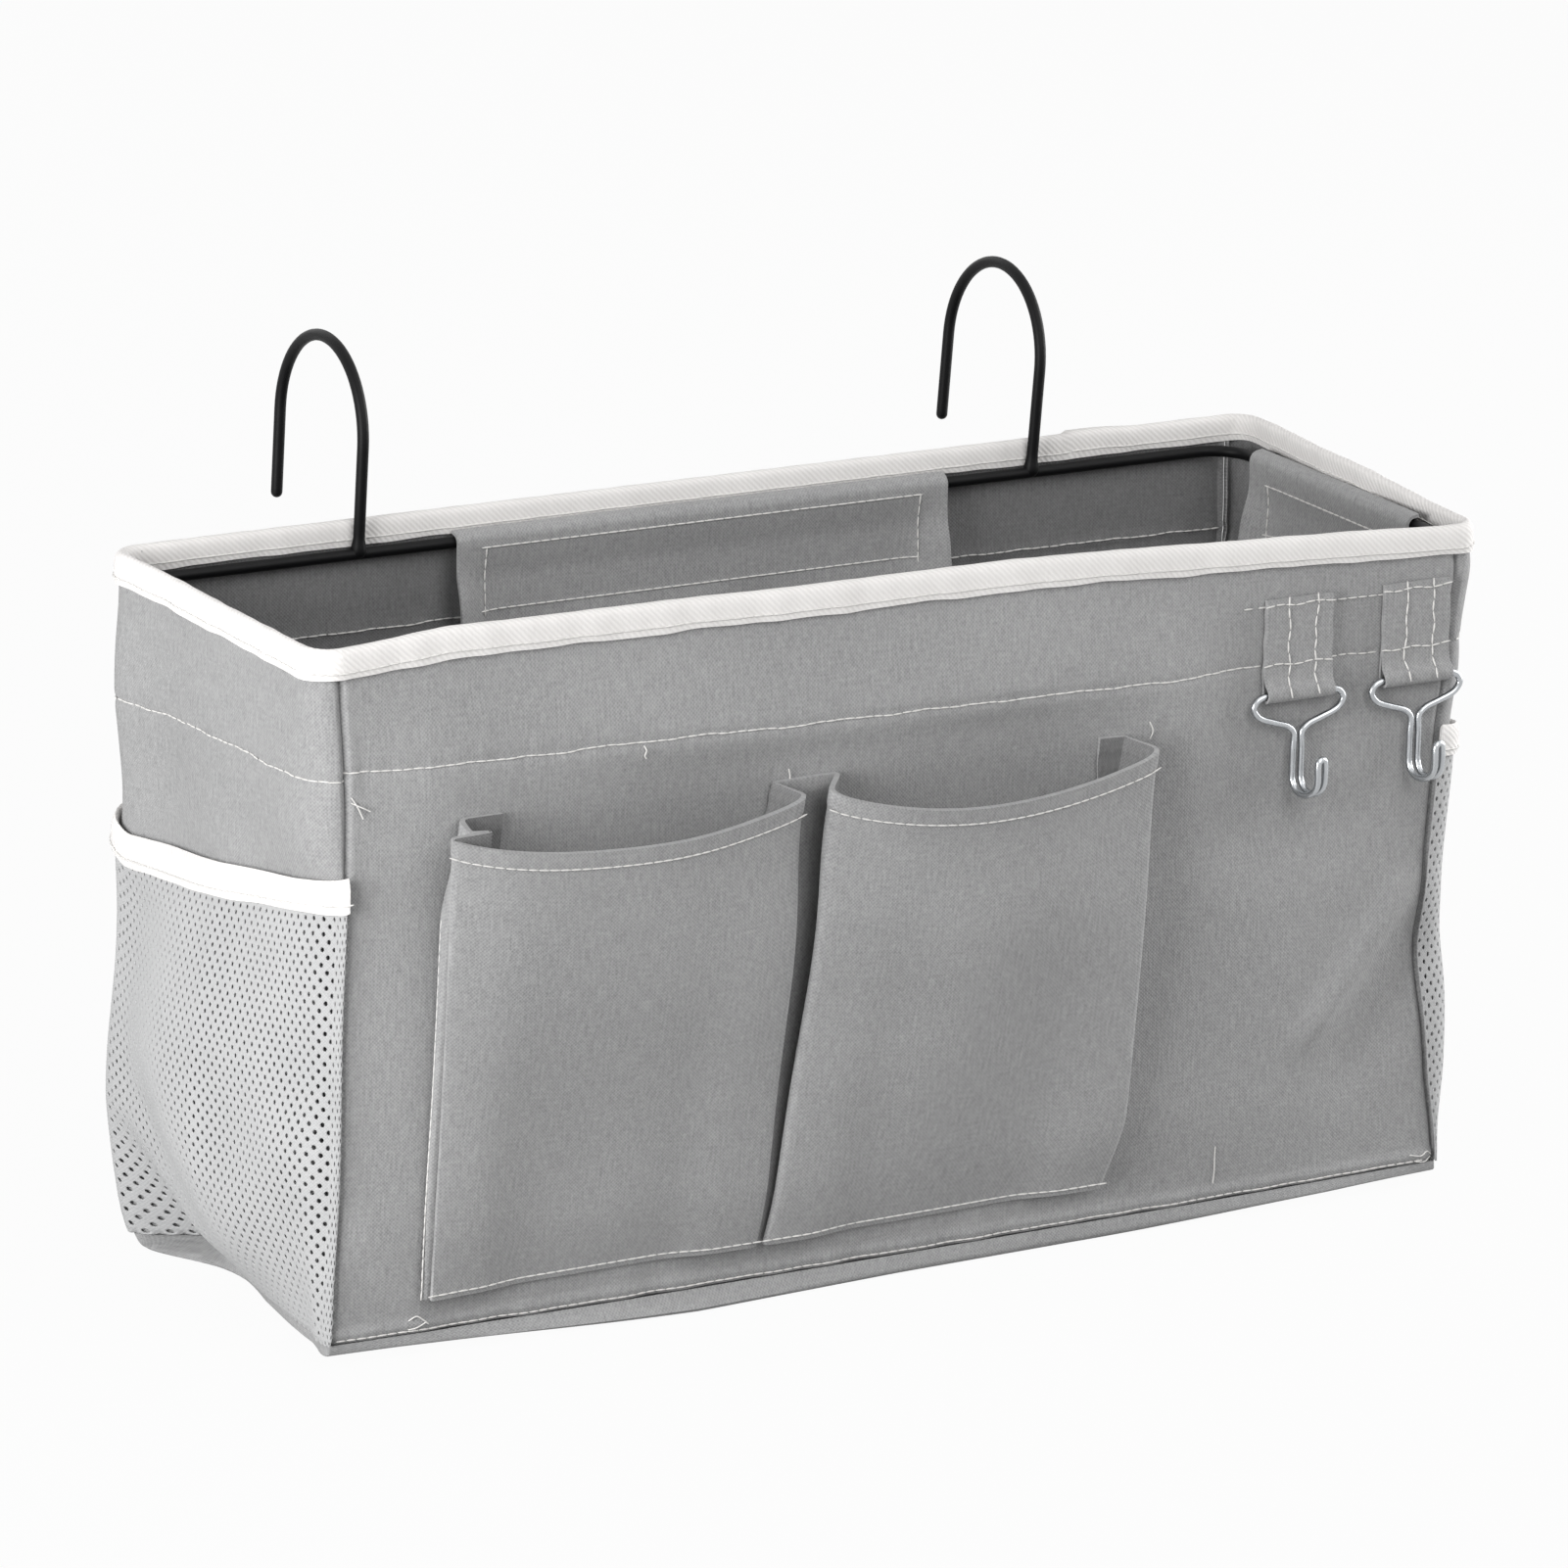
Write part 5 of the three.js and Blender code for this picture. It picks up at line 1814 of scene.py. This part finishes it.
@dataclass
class NetPocket:
    """A net pocket on an end wall with the tape on its mouth, in mm."""

    shop: Workshop
    wall: Wall
    pitch: float = 3.0
    hole: float = 0.52
    strand: float = 0.7
    stretch: Pair = (0.85, 0.99)
    yarn_share: float = 0.75
    draw: Triple = (0.86, 0.2, 1.06)
    end_gap: float = 0.002
    mouth_z: float = 126.5
    mouth_rise: float = 18.0
    mouth_pull: float = 7.0
    left_bulge: float = 7.5
    right_bulge: float = 3.5
    span: Pair = (139.0, 130.0)
    folds: tuple[Fold, ...] = (
        Fold(3.0, (22.0, 42.0), (68.0, 6.0), 9.0),
        Fold(1.8, (124.0, 60.0), (84.0, 14.0), 11.0),
    )
    tape_high: float = 9.0
    tape_thick: float = 0.9
    middle: float = 0.4
    top: float = 0.96

    def mouth(self, share: Number) -> Array:
        """Gives the height of the mouth at a share of the way along the wall."""
        share = np.asarray(share, float)
        ahead = share if self.wall is Wall.LEFT else 1.0 - share
        return self.mouth_z + self.mouth_rise * ahead ** 1.3 + self.mouth_pull * ease(0.14, 0.0, ahead)

    def stand_off(self, share: Number, rise: Number) -> Array:
        """Gives how far the net stands off the wall.

        Args:
            share: Place along the wall.
            rise: Share of the way up to the mouth.

        Returns:
            The distance.
        """
        share, rise = together(share, rise)
        across, up = share * self.span[0], rise * self.span[1]
        out = 0.6 + 0.4 * ease(0.6, 0.9, rise)
        bulge = self.left_bulge if self.wall is Wall.LEFT else self.right_bulge
        belly = bulge * np.sin(math.pi * share) ** 1.1
        out = out + belly * np.sin(math.pi * np.clip(rise, 0.0, 1.0) ** 0.7)
        ends = np.minimum(share, 1.0 - share)
        loose = ease(0.0, 0.12, ends) * ease(0.0, 0.12, rise) * ease(1.0, 0.85, rise)
        out = out + 1.2 * ripple(across, up, 55.0, 71) * loose
        if self.wall is Wall.LEFT:
            for crease in self.folds:
                out = out + crease.lift(across, up) * loose
        return out

    def cloth(self, share: Number, rise: Number, off: Number = 0.0) -> Array:
        """Gives points on or beside the net as it hangs.

        Args:
            share: Place along the wall.
            rise: Share of the way up to the mouth.
            off: Distance out of the net's middle.

        Returns:
            Points in mm.
        """
        outline, low = self.shop.outline, self.shop.box.wall_low
        share, rise, off = together(share, rise, off)
        run = outline.start_of(self.wall) + share * outline.end_length
        x, y = outline.walk(run, self.stand_off(share, rise) + off)
        return self.shop.hang(x, y, low + rise * (self.mouth(share) - low))

    def gathered(self, share: Array) -> Array:
        """Draws the net's columns together towards the front.

        Args:
            share: Place along the flat net.

        Returns:
            Place along the wall.
        """
        ahead = share if self.wall is Wall.LEFT else 1.0 - share
        at = np.linspace(0.0, 1.0, 65)
        even, more, whole = self.draw
        ahead = np.interp(ahead, (even * at + more * at ** 3) / whole, at)
        share = ahead if self.wall is Wall.LEFT else 1.0 - ahead
        return self.end_gap + (1.0 - 2.0 * self.end_gap) * share

    def net(self, tree: Tree) -> None:
        """Knits the flat net and hangs it on the wall.

        Args:
            tree: Recipe of the net.
        """
        width = self.shop.outline.end_length - 0.6
        height = (self.mouth_z + self.mouth_rise / 2 - self.shop.box.wall_low) * self.top
        size = (width / self.stretch[0] * MM, height / self.stretch[1] * MM)
        values = {
            "Width": size[0],
            "Height": size[1],
            "Pitch": self.pitch * MM,
            "Hole": self.hole,
            "Material": self.shop.finishes[Slot.NET],
        }
        mesh = run_recipe(tree, values)
        flat = np.clip(vertex_places(mesh)[:, :2] * self.stretch, 0.0, (width, height))
        rise = flat[:, 1] / height * self.top
        place_vertices(mesh, self.cloth(self.gathered(flat[:, 0] / width), rise, self.middle))
        numbers = np.empty(len(mesh.loops), np.int32)
        mesh.loops.foreach_get("vertex_index", numbers)
        layer = mesh.uv_layers.get(UV) or mesh.uv_layers.new(name=UV)
        layer.data.foreach_set("uv", (flat[numbers] * MM).astype(np.float32).ravel())
        thin = new_object("thin_net", mesh)
        strands = thin.modifiers.new("strand", "SOLIDIFY")
        strands.thickness = self.strand * MM
        strands.offset = 0.0
        net = new_object(f"{self.wall.label}_pocket_net", applied(thin))
        self.shop.mount(net, Slot.NET, "caddy", [f"{self.wall.label}_mesh_pocket"])

    def tape(self) -> None:
        """Folds the tape over the mouth and sews it."""
        over = ((1.5, -1.6), (0.5, 0.6), (-0.3, -0.6), (-0.4, -4.0), (-0.3, -8.0))
        section = rounded_path(((1.5, -self.tape_high), (1.7, -5.0), *over), 19)
        share = np.linspace(0.003, 0.997, 72)
        tall = self.mouth(share)[None, :] - self.shop.box.wall_low
        uneven = 0.4 * ripple(share * self.span[0], 0.0 * share, 26.0, 77)[None, :]
        rise = 1.0 + (section[:, 1:] + uneven * ease(-5.0, -9.0, section[:, 1:])) / tall
        grid = self.cloth(share[None, :], rise, section[:, :1] + self.middle)
        flat = flat_grid(share * self.shop.outline.end_length, lengths(section))
        tape = cloth_object(f"{self.wall.label}_mouth_tape", grid, flat, self.tape_thick)
        self.shop.mount(tape, Slot.TAPE, "caddy", [f"{self.wall.label}_mesh_binding"])
        line = np.linspace(0.01, 0.99, 70)
        at = 1.0 - 6.9 / (self.mouth(line) - self.shop.box.wall_low)
        self.shop.sewing.row("caddy", self.cloth(line, at, 2.3))

    def build(self, tree: Tree) -> None:
        """Makes the net, by its recipe, and its tape."""
        self.net(tree)
        self.tape()


@dataclass
class KeyHanger:
    """A cloth tab sewn to the front wall and the wire key hook that swings in its fold, in mm."""

    shop: Workshop
    side: str
    x: float
    width: float = 23.0
    top_z: float = 190.0
    axis_z: float = 161.3
    loop: float = 2.3
    strap: float = 1.0
    wire: float = 2.0
    shoulder: float = 4.0
    neck_drop: float = 10.0
    shank: float = 15.0
    bend: float = 5.0
    tip: float = 5.0
    pair: float = 3.0
    twist: float = 15.0

    @property
    def face(self) -> float:
        """The y of the tab's back, just clear of the front wall."""
        return -self.shop.box.depth / 2 - self.shop.box.gap

    def tab(self) -> None:
        """Makes the folded tab and sews it to the wall."""
        middle = self.loop - self.strap / 2
        turn = np.linspace(math.pi, 2.0 * math.pi, 15)
        back = [(self.strap / 2, z) for z in np.linspace(self.top_z, self.axis_z + 0.6, 16)]
        round_part = [(self.loop + middle * math.cos(a), self.axis_z + middle * math.sin(a)) for a in turn]
        front = [
            (self.loop + middle - 0.35, self.axis_z + 1.6),
            (self.strap * 1.5 + 0.8, self.axis_z + 3.2),
            (self.strap * 1.5 + 0.15, self.axis_z + 5.2),
        ] + [(self.strap * 1.5, z) for z in np.linspace(self.axis_z + 7.5, self.top_z, 12)]
        section = rounded_path([*back, *round_part, *front], 84)
        along = spaced(-self.width / 2, self.width / 2, 1.2, 0.5, 2.0)
        up = section[:, 1:]
        edge = 0.3 * ripple(up, 0.0 * up, 9.0, 83 + round(self.x)) * np.sign(along)[None, :]
        edge = edge * mound(self.width / 2 - np.abs(along), 0.0, 3.0)[None, :]
        grid = np.stack(together(self.x + along[None, :] + edge, self.face - section[:, :1], up), axis=-1)
        flat = flat_grid(along, lengths(section))
        tab = cloth_object(f"{self.side}_tab_cloth", grid, flat, self.strap - 0.12, 0.45)
        self.shop.mount(tab, Slot.CLOTH, "caddy", [f"{self.side}_hook_tab"])
        sewing = self.shop.sewing
        proud = self.face - 2.0 * self.strap - 0.1
        for part in (-0.17, 0.24):
            z = np.arange(self.axis_z + 1.0, self.top_z - 0.5, 1.5)
            waver = 0.45 * ripple(z, 0.0 * z, 8.0, 89 + round(self.x + 10 * part))
            swell = (2.0 * self.loop - 2.0 * self.strap) * ease(self.axis_z + 6.0, self.axis_z + 1.0, z)
            row = np.stack([self.x + part * self.width + waver, proud - swell, z], axis=-1)
            sewing.row("caddy", row)
        for z_row in (self.top_z - 1.6, self.shop.box.hem_z + 0.4):
            across = np.arange(-self.width / 2 + 0.8, self.width / 2, 1.6)
            wave = 0.3 * np.sin(across * 0.5 + self.x)
            row = np.stack([self.x + across, np.full(across.shape, proud), z_row + wave], axis=-1)
            sewing.row("caddy", row)

    def key_hook(self) -> None:
        """Makes the key hook: one wire bent double, its ends meeting in the tab's fold."""
        wide = self.width / 2 + self.shoulder
        rail = self.pair / 2
        bend_z = -(self.neck_drop + self.shank)
        half = [
            (self.shop.box.gap, 0.0, 0.0),
            (self.width / 4, 0.0, 0.0),
            (self.width / 2, 0.0, 0.0),
            (wide - self.wire / 2, 0.0, -0.12 * self.neck_drop),
            (wide, 0.0, -0.35 * self.neck_drop),
            (wide - self.wire, 0.0, -0.62 * self.neck_drop),
            ((wide + rail) / 2, 0.0, -0.82 * self.neck_drop),
            (rail + self.wire, 0.0, -self.neck_drop),
            (rail, 0.0, -self.neck_drop - self.wire),
            (rail, 0.0, (bend_z - self.neck_drop) / 2),
        ]
        for angle in np.linspace(0.0, math.pi, 13):
            half.append((rail, self.bend * (1.0 - math.cos(angle)), bend_z - self.bend * math.sin(angle)))
        half.append((rail, 2.0 * self.bend, bend_z + self.tip))
        nose = rail * math.sqrt(0.5)
        half.append((nose, 2.0 * self.bend, bend_z + self.tip + nose))
        crown = (0.0, 2.0 * self.bend, bend_z + self.tip + rail)
        whole = np.asarray([*half, crown, *[(-x, out, z) for x, out, z in half[::-1]]])
        turn = math.radians(self.twist) * ease(0.0, 2.0 * self.bend, whole[:, 1])
        x = whole[:, 0] * np.cos(turn) + whole[:, 1] * np.sin(turn)
        y = whole[:, 0] * np.sin(turn) - whole[:, 1] * np.cos(turn)
        path = np.stack([self.x + x, self.face - self.loop + y, self.axis_z + whole[:, 2]], axis=-1)
        hook = wire_object(f"{self.side}_key_wire", rounded_path(path, 260), self.wire / 2, 14)
        self.shop.mount(hook, Slot.ZINC, f"{self.side}_key_hook", [f"{self.side}_key_hook"])

    def build(self) -> None:
        """Makes the tab and its hook."""
        self.tab()
        self.key_hook()


@dataclass
class LooseThreads:
    """Thread ends that the sewing left standing, in mm."""

    shop: Workshop
    shell: Shell
    thick: float = 0.19

    def build(self) -> None:
        """Makes the thread ends."""
        # The run and height where each starts, and its steps along the wall, up and out from there
        ends = (
            ((1.5, 167.5), ((1.4, -2.4, 0.6), (3.0, -6.0, 1.0))),
            ((1.5, 166.0), ((2.6, -1.2, 0.9), (5.4, -2.6, 0.8))),
            ((94.0, 172.2), ((0.4, -1.2, 0.6), (-0.2, -2.6, 0.9), (0.4, -3.6, 0.6))),
            ((289.0, 24.0), ((0.2, -4.0, 0.2), (0.6, -8.0, 0.25), (0.6, -12.0, 0.2))),
            ((22.0, 11.0), ((1.8, 1.4, 0.8), (3.6, 0.2, 1.0), (5.2, -1.4, 0.6))),
            ((22.0, 8.0), ((1.8, 0.8, 0.8), (4.6, 2.2, 0.7))),
            ((142.0, 154.0), ((0.1, 2.6, 0.6), (-0.6, 5.2, 0.8))),
            ((261.0, 154.0), ((0.4, 2.6, 0.8), (-1.0, 5.4, 1.2))),
            ((363.0, 9.0), ((-1.5, 1.4, 0.6), (-4.0, 0.6, 1.2), (-7.0, 1.2, 0.8))),
            ((363.0, 8.0), ((-2.0, -1.2, 0.8), (-5.0, -0.6, 1.0))),
        )
        for number, ((run, z), steps) in enumerate(ends):
            marks = [(0.0, 0.0, 0.15), *steps]
            points = [self.shell.surface(run + a, z + b, c) for a, b, c in marks]
            path = rounded_path(points, 18)
            thread = wire_object(f"loose_thread_{number + 1}", path, self.thick, 8)
            thread.data.materials.append(self.shop.thread)
            self.shop.mount(thread, Slot.TAPE, "caddy")


# Setting

# Name, place, side and power of each soft lamp
LAMPS = (
    ("window_light", (-1.2, -0.4, 0.38), 0.7, 17.5),
    ("front_fill", (0.3, -2.0, 1.75), 1.8, 29.0),
    ("top_fill", (0.1, -0.2, 2.2), 1.6, 6.0),
    ("right_fill", (1.4, -0.1, 0.4), 1.0, 20.0),
    ("back_fill", (-0.2, 2.2, 1.2), 1.8, 9.0),
)


@dataclass(frozen=True)
class Studio:
    """Pale floor, soft light and the camera at the photograph's angle. Lengths are in metres."""

    focal_px: float = 9000.0
    frame_px: float = 1601.0
    yaw: float = 29.3577
    elevation: float = 16.2244
    roll: float = 1.0373
    distance: float = 2.5925
    aim: Triple = (-0.0041, 0.0, 0.1325)
    sensor_mm: float = 36.0
    glow: float = 0.2
    floor_white: float = 0.96
    reach: float = 6.0

    def camera(self) -> None:
        """Makes the camera."""
        yaw, tilt, roll = (math.radians(v) for v in (self.yaw, self.elevation, self.roll))
        back = Vector((-math.sin(yaw) * math.cos(tilt), -math.cos(yaw) * math.cos(tilt), math.sin(tilt)))
        level = Vector((math.cos(yaw), -math.sin(yaw), 0.0))
        upright = back.cross(level)
        right = math.cos(roll) * level + math.sin(roll) * upright
        up = math.cos(roll) * upright - math.sin(roll) * level
        lens = bpy.data.cameras.new("photo_camera")
        lens.sensor_fit = "HORIZONTAL"
        lens.sensor_width = self.sensor_mm
        lens.lens = self.focal_px / self.frame_px * self.sensor_mm
        lens.clip_end = 50.0
        camera = bpy.data.objects.new("photo_camera", lens)
        turned = Matrix((right, up, back)).transposed().to_4x4()
        camera.matrix_world = Matrix.Translation(Vector(self.aim) + back * self.distance) @ turned
        bpy.context.scene.collection.objects.link(camera)
        bpy.context.scene.camera = camera

    def lamp(self, name: str, place: Sequence[float], size: float, power: float) -> None:
        """Makes one soft lamp that looks at the object.

        Args:
            name: Name of the lamp.
            place: Where it stands.
            size: Side of its square face.
            power: Power in watts.
        """
        light = bpy.data.lights.new(name, "AREA")
        light.size = size
        light.energy = power
        lamp = bpy.data.objects.new(name, light)
        lamp.location = place
        lamp.rotation_euler = (Vector((0.0, 0.0, 0.1)) - Vector(place)).to_track_quat("-Z", "Y").to_euler()
        bpy.context.scene.collection.objects.link(lamp)

    def seen(self, tree: Tree) -> Any:
        """Gives 1 for rays that show the background straight, in metal or through glass.

        Args:
            tree: Node tree to add to.

        Returns:
            An output socket.
        """
        path = add_node(tree, "ShaderNodeLightPath").outputs
        shiny = maths(tree, "MAXIMUM", path["Is Camera Ray"], path["Is Glossy Ray"])
        return maths(tree, "MAXIMUM", shiny, path["Is Transmission Ray"])

    def backdrop(self) -> None:
        """Makes the white surroundings and the floor, which keeps the shadow."""
        world = bpy.data.worlds.new("white_room")
        bpy.context.scene.world = world
        tree = emptied(world)
        strength = add_node(tree, "ShaderNodeMapRange", {0: self.seen(tree), 3: self.glow, 4: 1.0})
        room = add_node(tree, "ShaderNodeBackground", {"Strength": strength, "Color": linear("#ffffff")})
        add_node(tree, "ShaderNodeOutputWorld", {"Surface": room})
        material = bpy.data.materials.new("white_paper_floor")
        tree = emptied(material)
        paper = add_node(tree, "ShaderNodeBsdfDiffuse", {"Color": linear("#a4a4a4")})
        white = add_node(tree, "ShaderNodeEmission", {"Color": linear("#ffffff")})
        share = maths(tree, "MULTIPLY", self.seen(tree), self.floor_white)
        both = add_node(tree, "ShaderNodeMixShader", {0: share, 1: paper, 2: white})
        add_node(tree, "ShaderNodeOutputMaterial", {"Surface": both})
        mesh = bpy.data.meshes.new("paper_floor")
        signs = ((-1.0, -1.0), (1.0, -1.0), (1.0, 1.0), (-1.0, 1.0))
        mesh.from_pydata([(a * self.reach, b * self.reach, 0.0) for a, b in signs], [], [(0, 1, 2, 3)])
        floor = new_object("paper_floor", mesh)
        mesh.materials.append(material)

    def build(self) -> None:
        """Makes the camera, the lamps and the backdrop."""
        bpy.context.scene.view_settings.view_transform = "Standard"
        self.camera()
        for lamp in LAMPS:
            self.lamp(*lamp)
        self.backdrop()


def main() -> None:
    """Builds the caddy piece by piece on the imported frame."""
    logging.basicConfig(level=logging.INFO, format="%(name)s: %(message)s")
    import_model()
    Studio().build()
    box = Box()
    outline = Outline(box.width / 2, box.depth / 2, box.corner)
    made = {slot: finish.build() for slot, finish in zip(Slot, (CLOTH, TAPE, NET, STRIP, BLACK, ZINC))}
    shop = Workshop(box, outline, Settling(), made, THREAD.build(), Sewing())
    shell = Shell(shop)
    for wall in Wall:
        shell.panel(wall)
    shell.base()
    shell.sew()
    RimTape(shop).build()
    WireWork(shop).build()
    pile = pile_recipe()
    for wall in Wall:
        RingFlap(shop, wall, box.long_flap if wall.long else box.short_flap).build(pile)
    FrontPockets(shop).build()
    knit = net_recipe()
    for wall in (Wall.LEFT, Wall.RIGHT):
        NetPocket(shop, wall).build(knit)
    for side, x in zip(("left", "right"), box.key_x):
        KeyHanger(shop, side, x).build()
    LooseThreads(shop, shell).build()
    shop.sewing.build(shop)


if __name__ == "__main__":
    main()
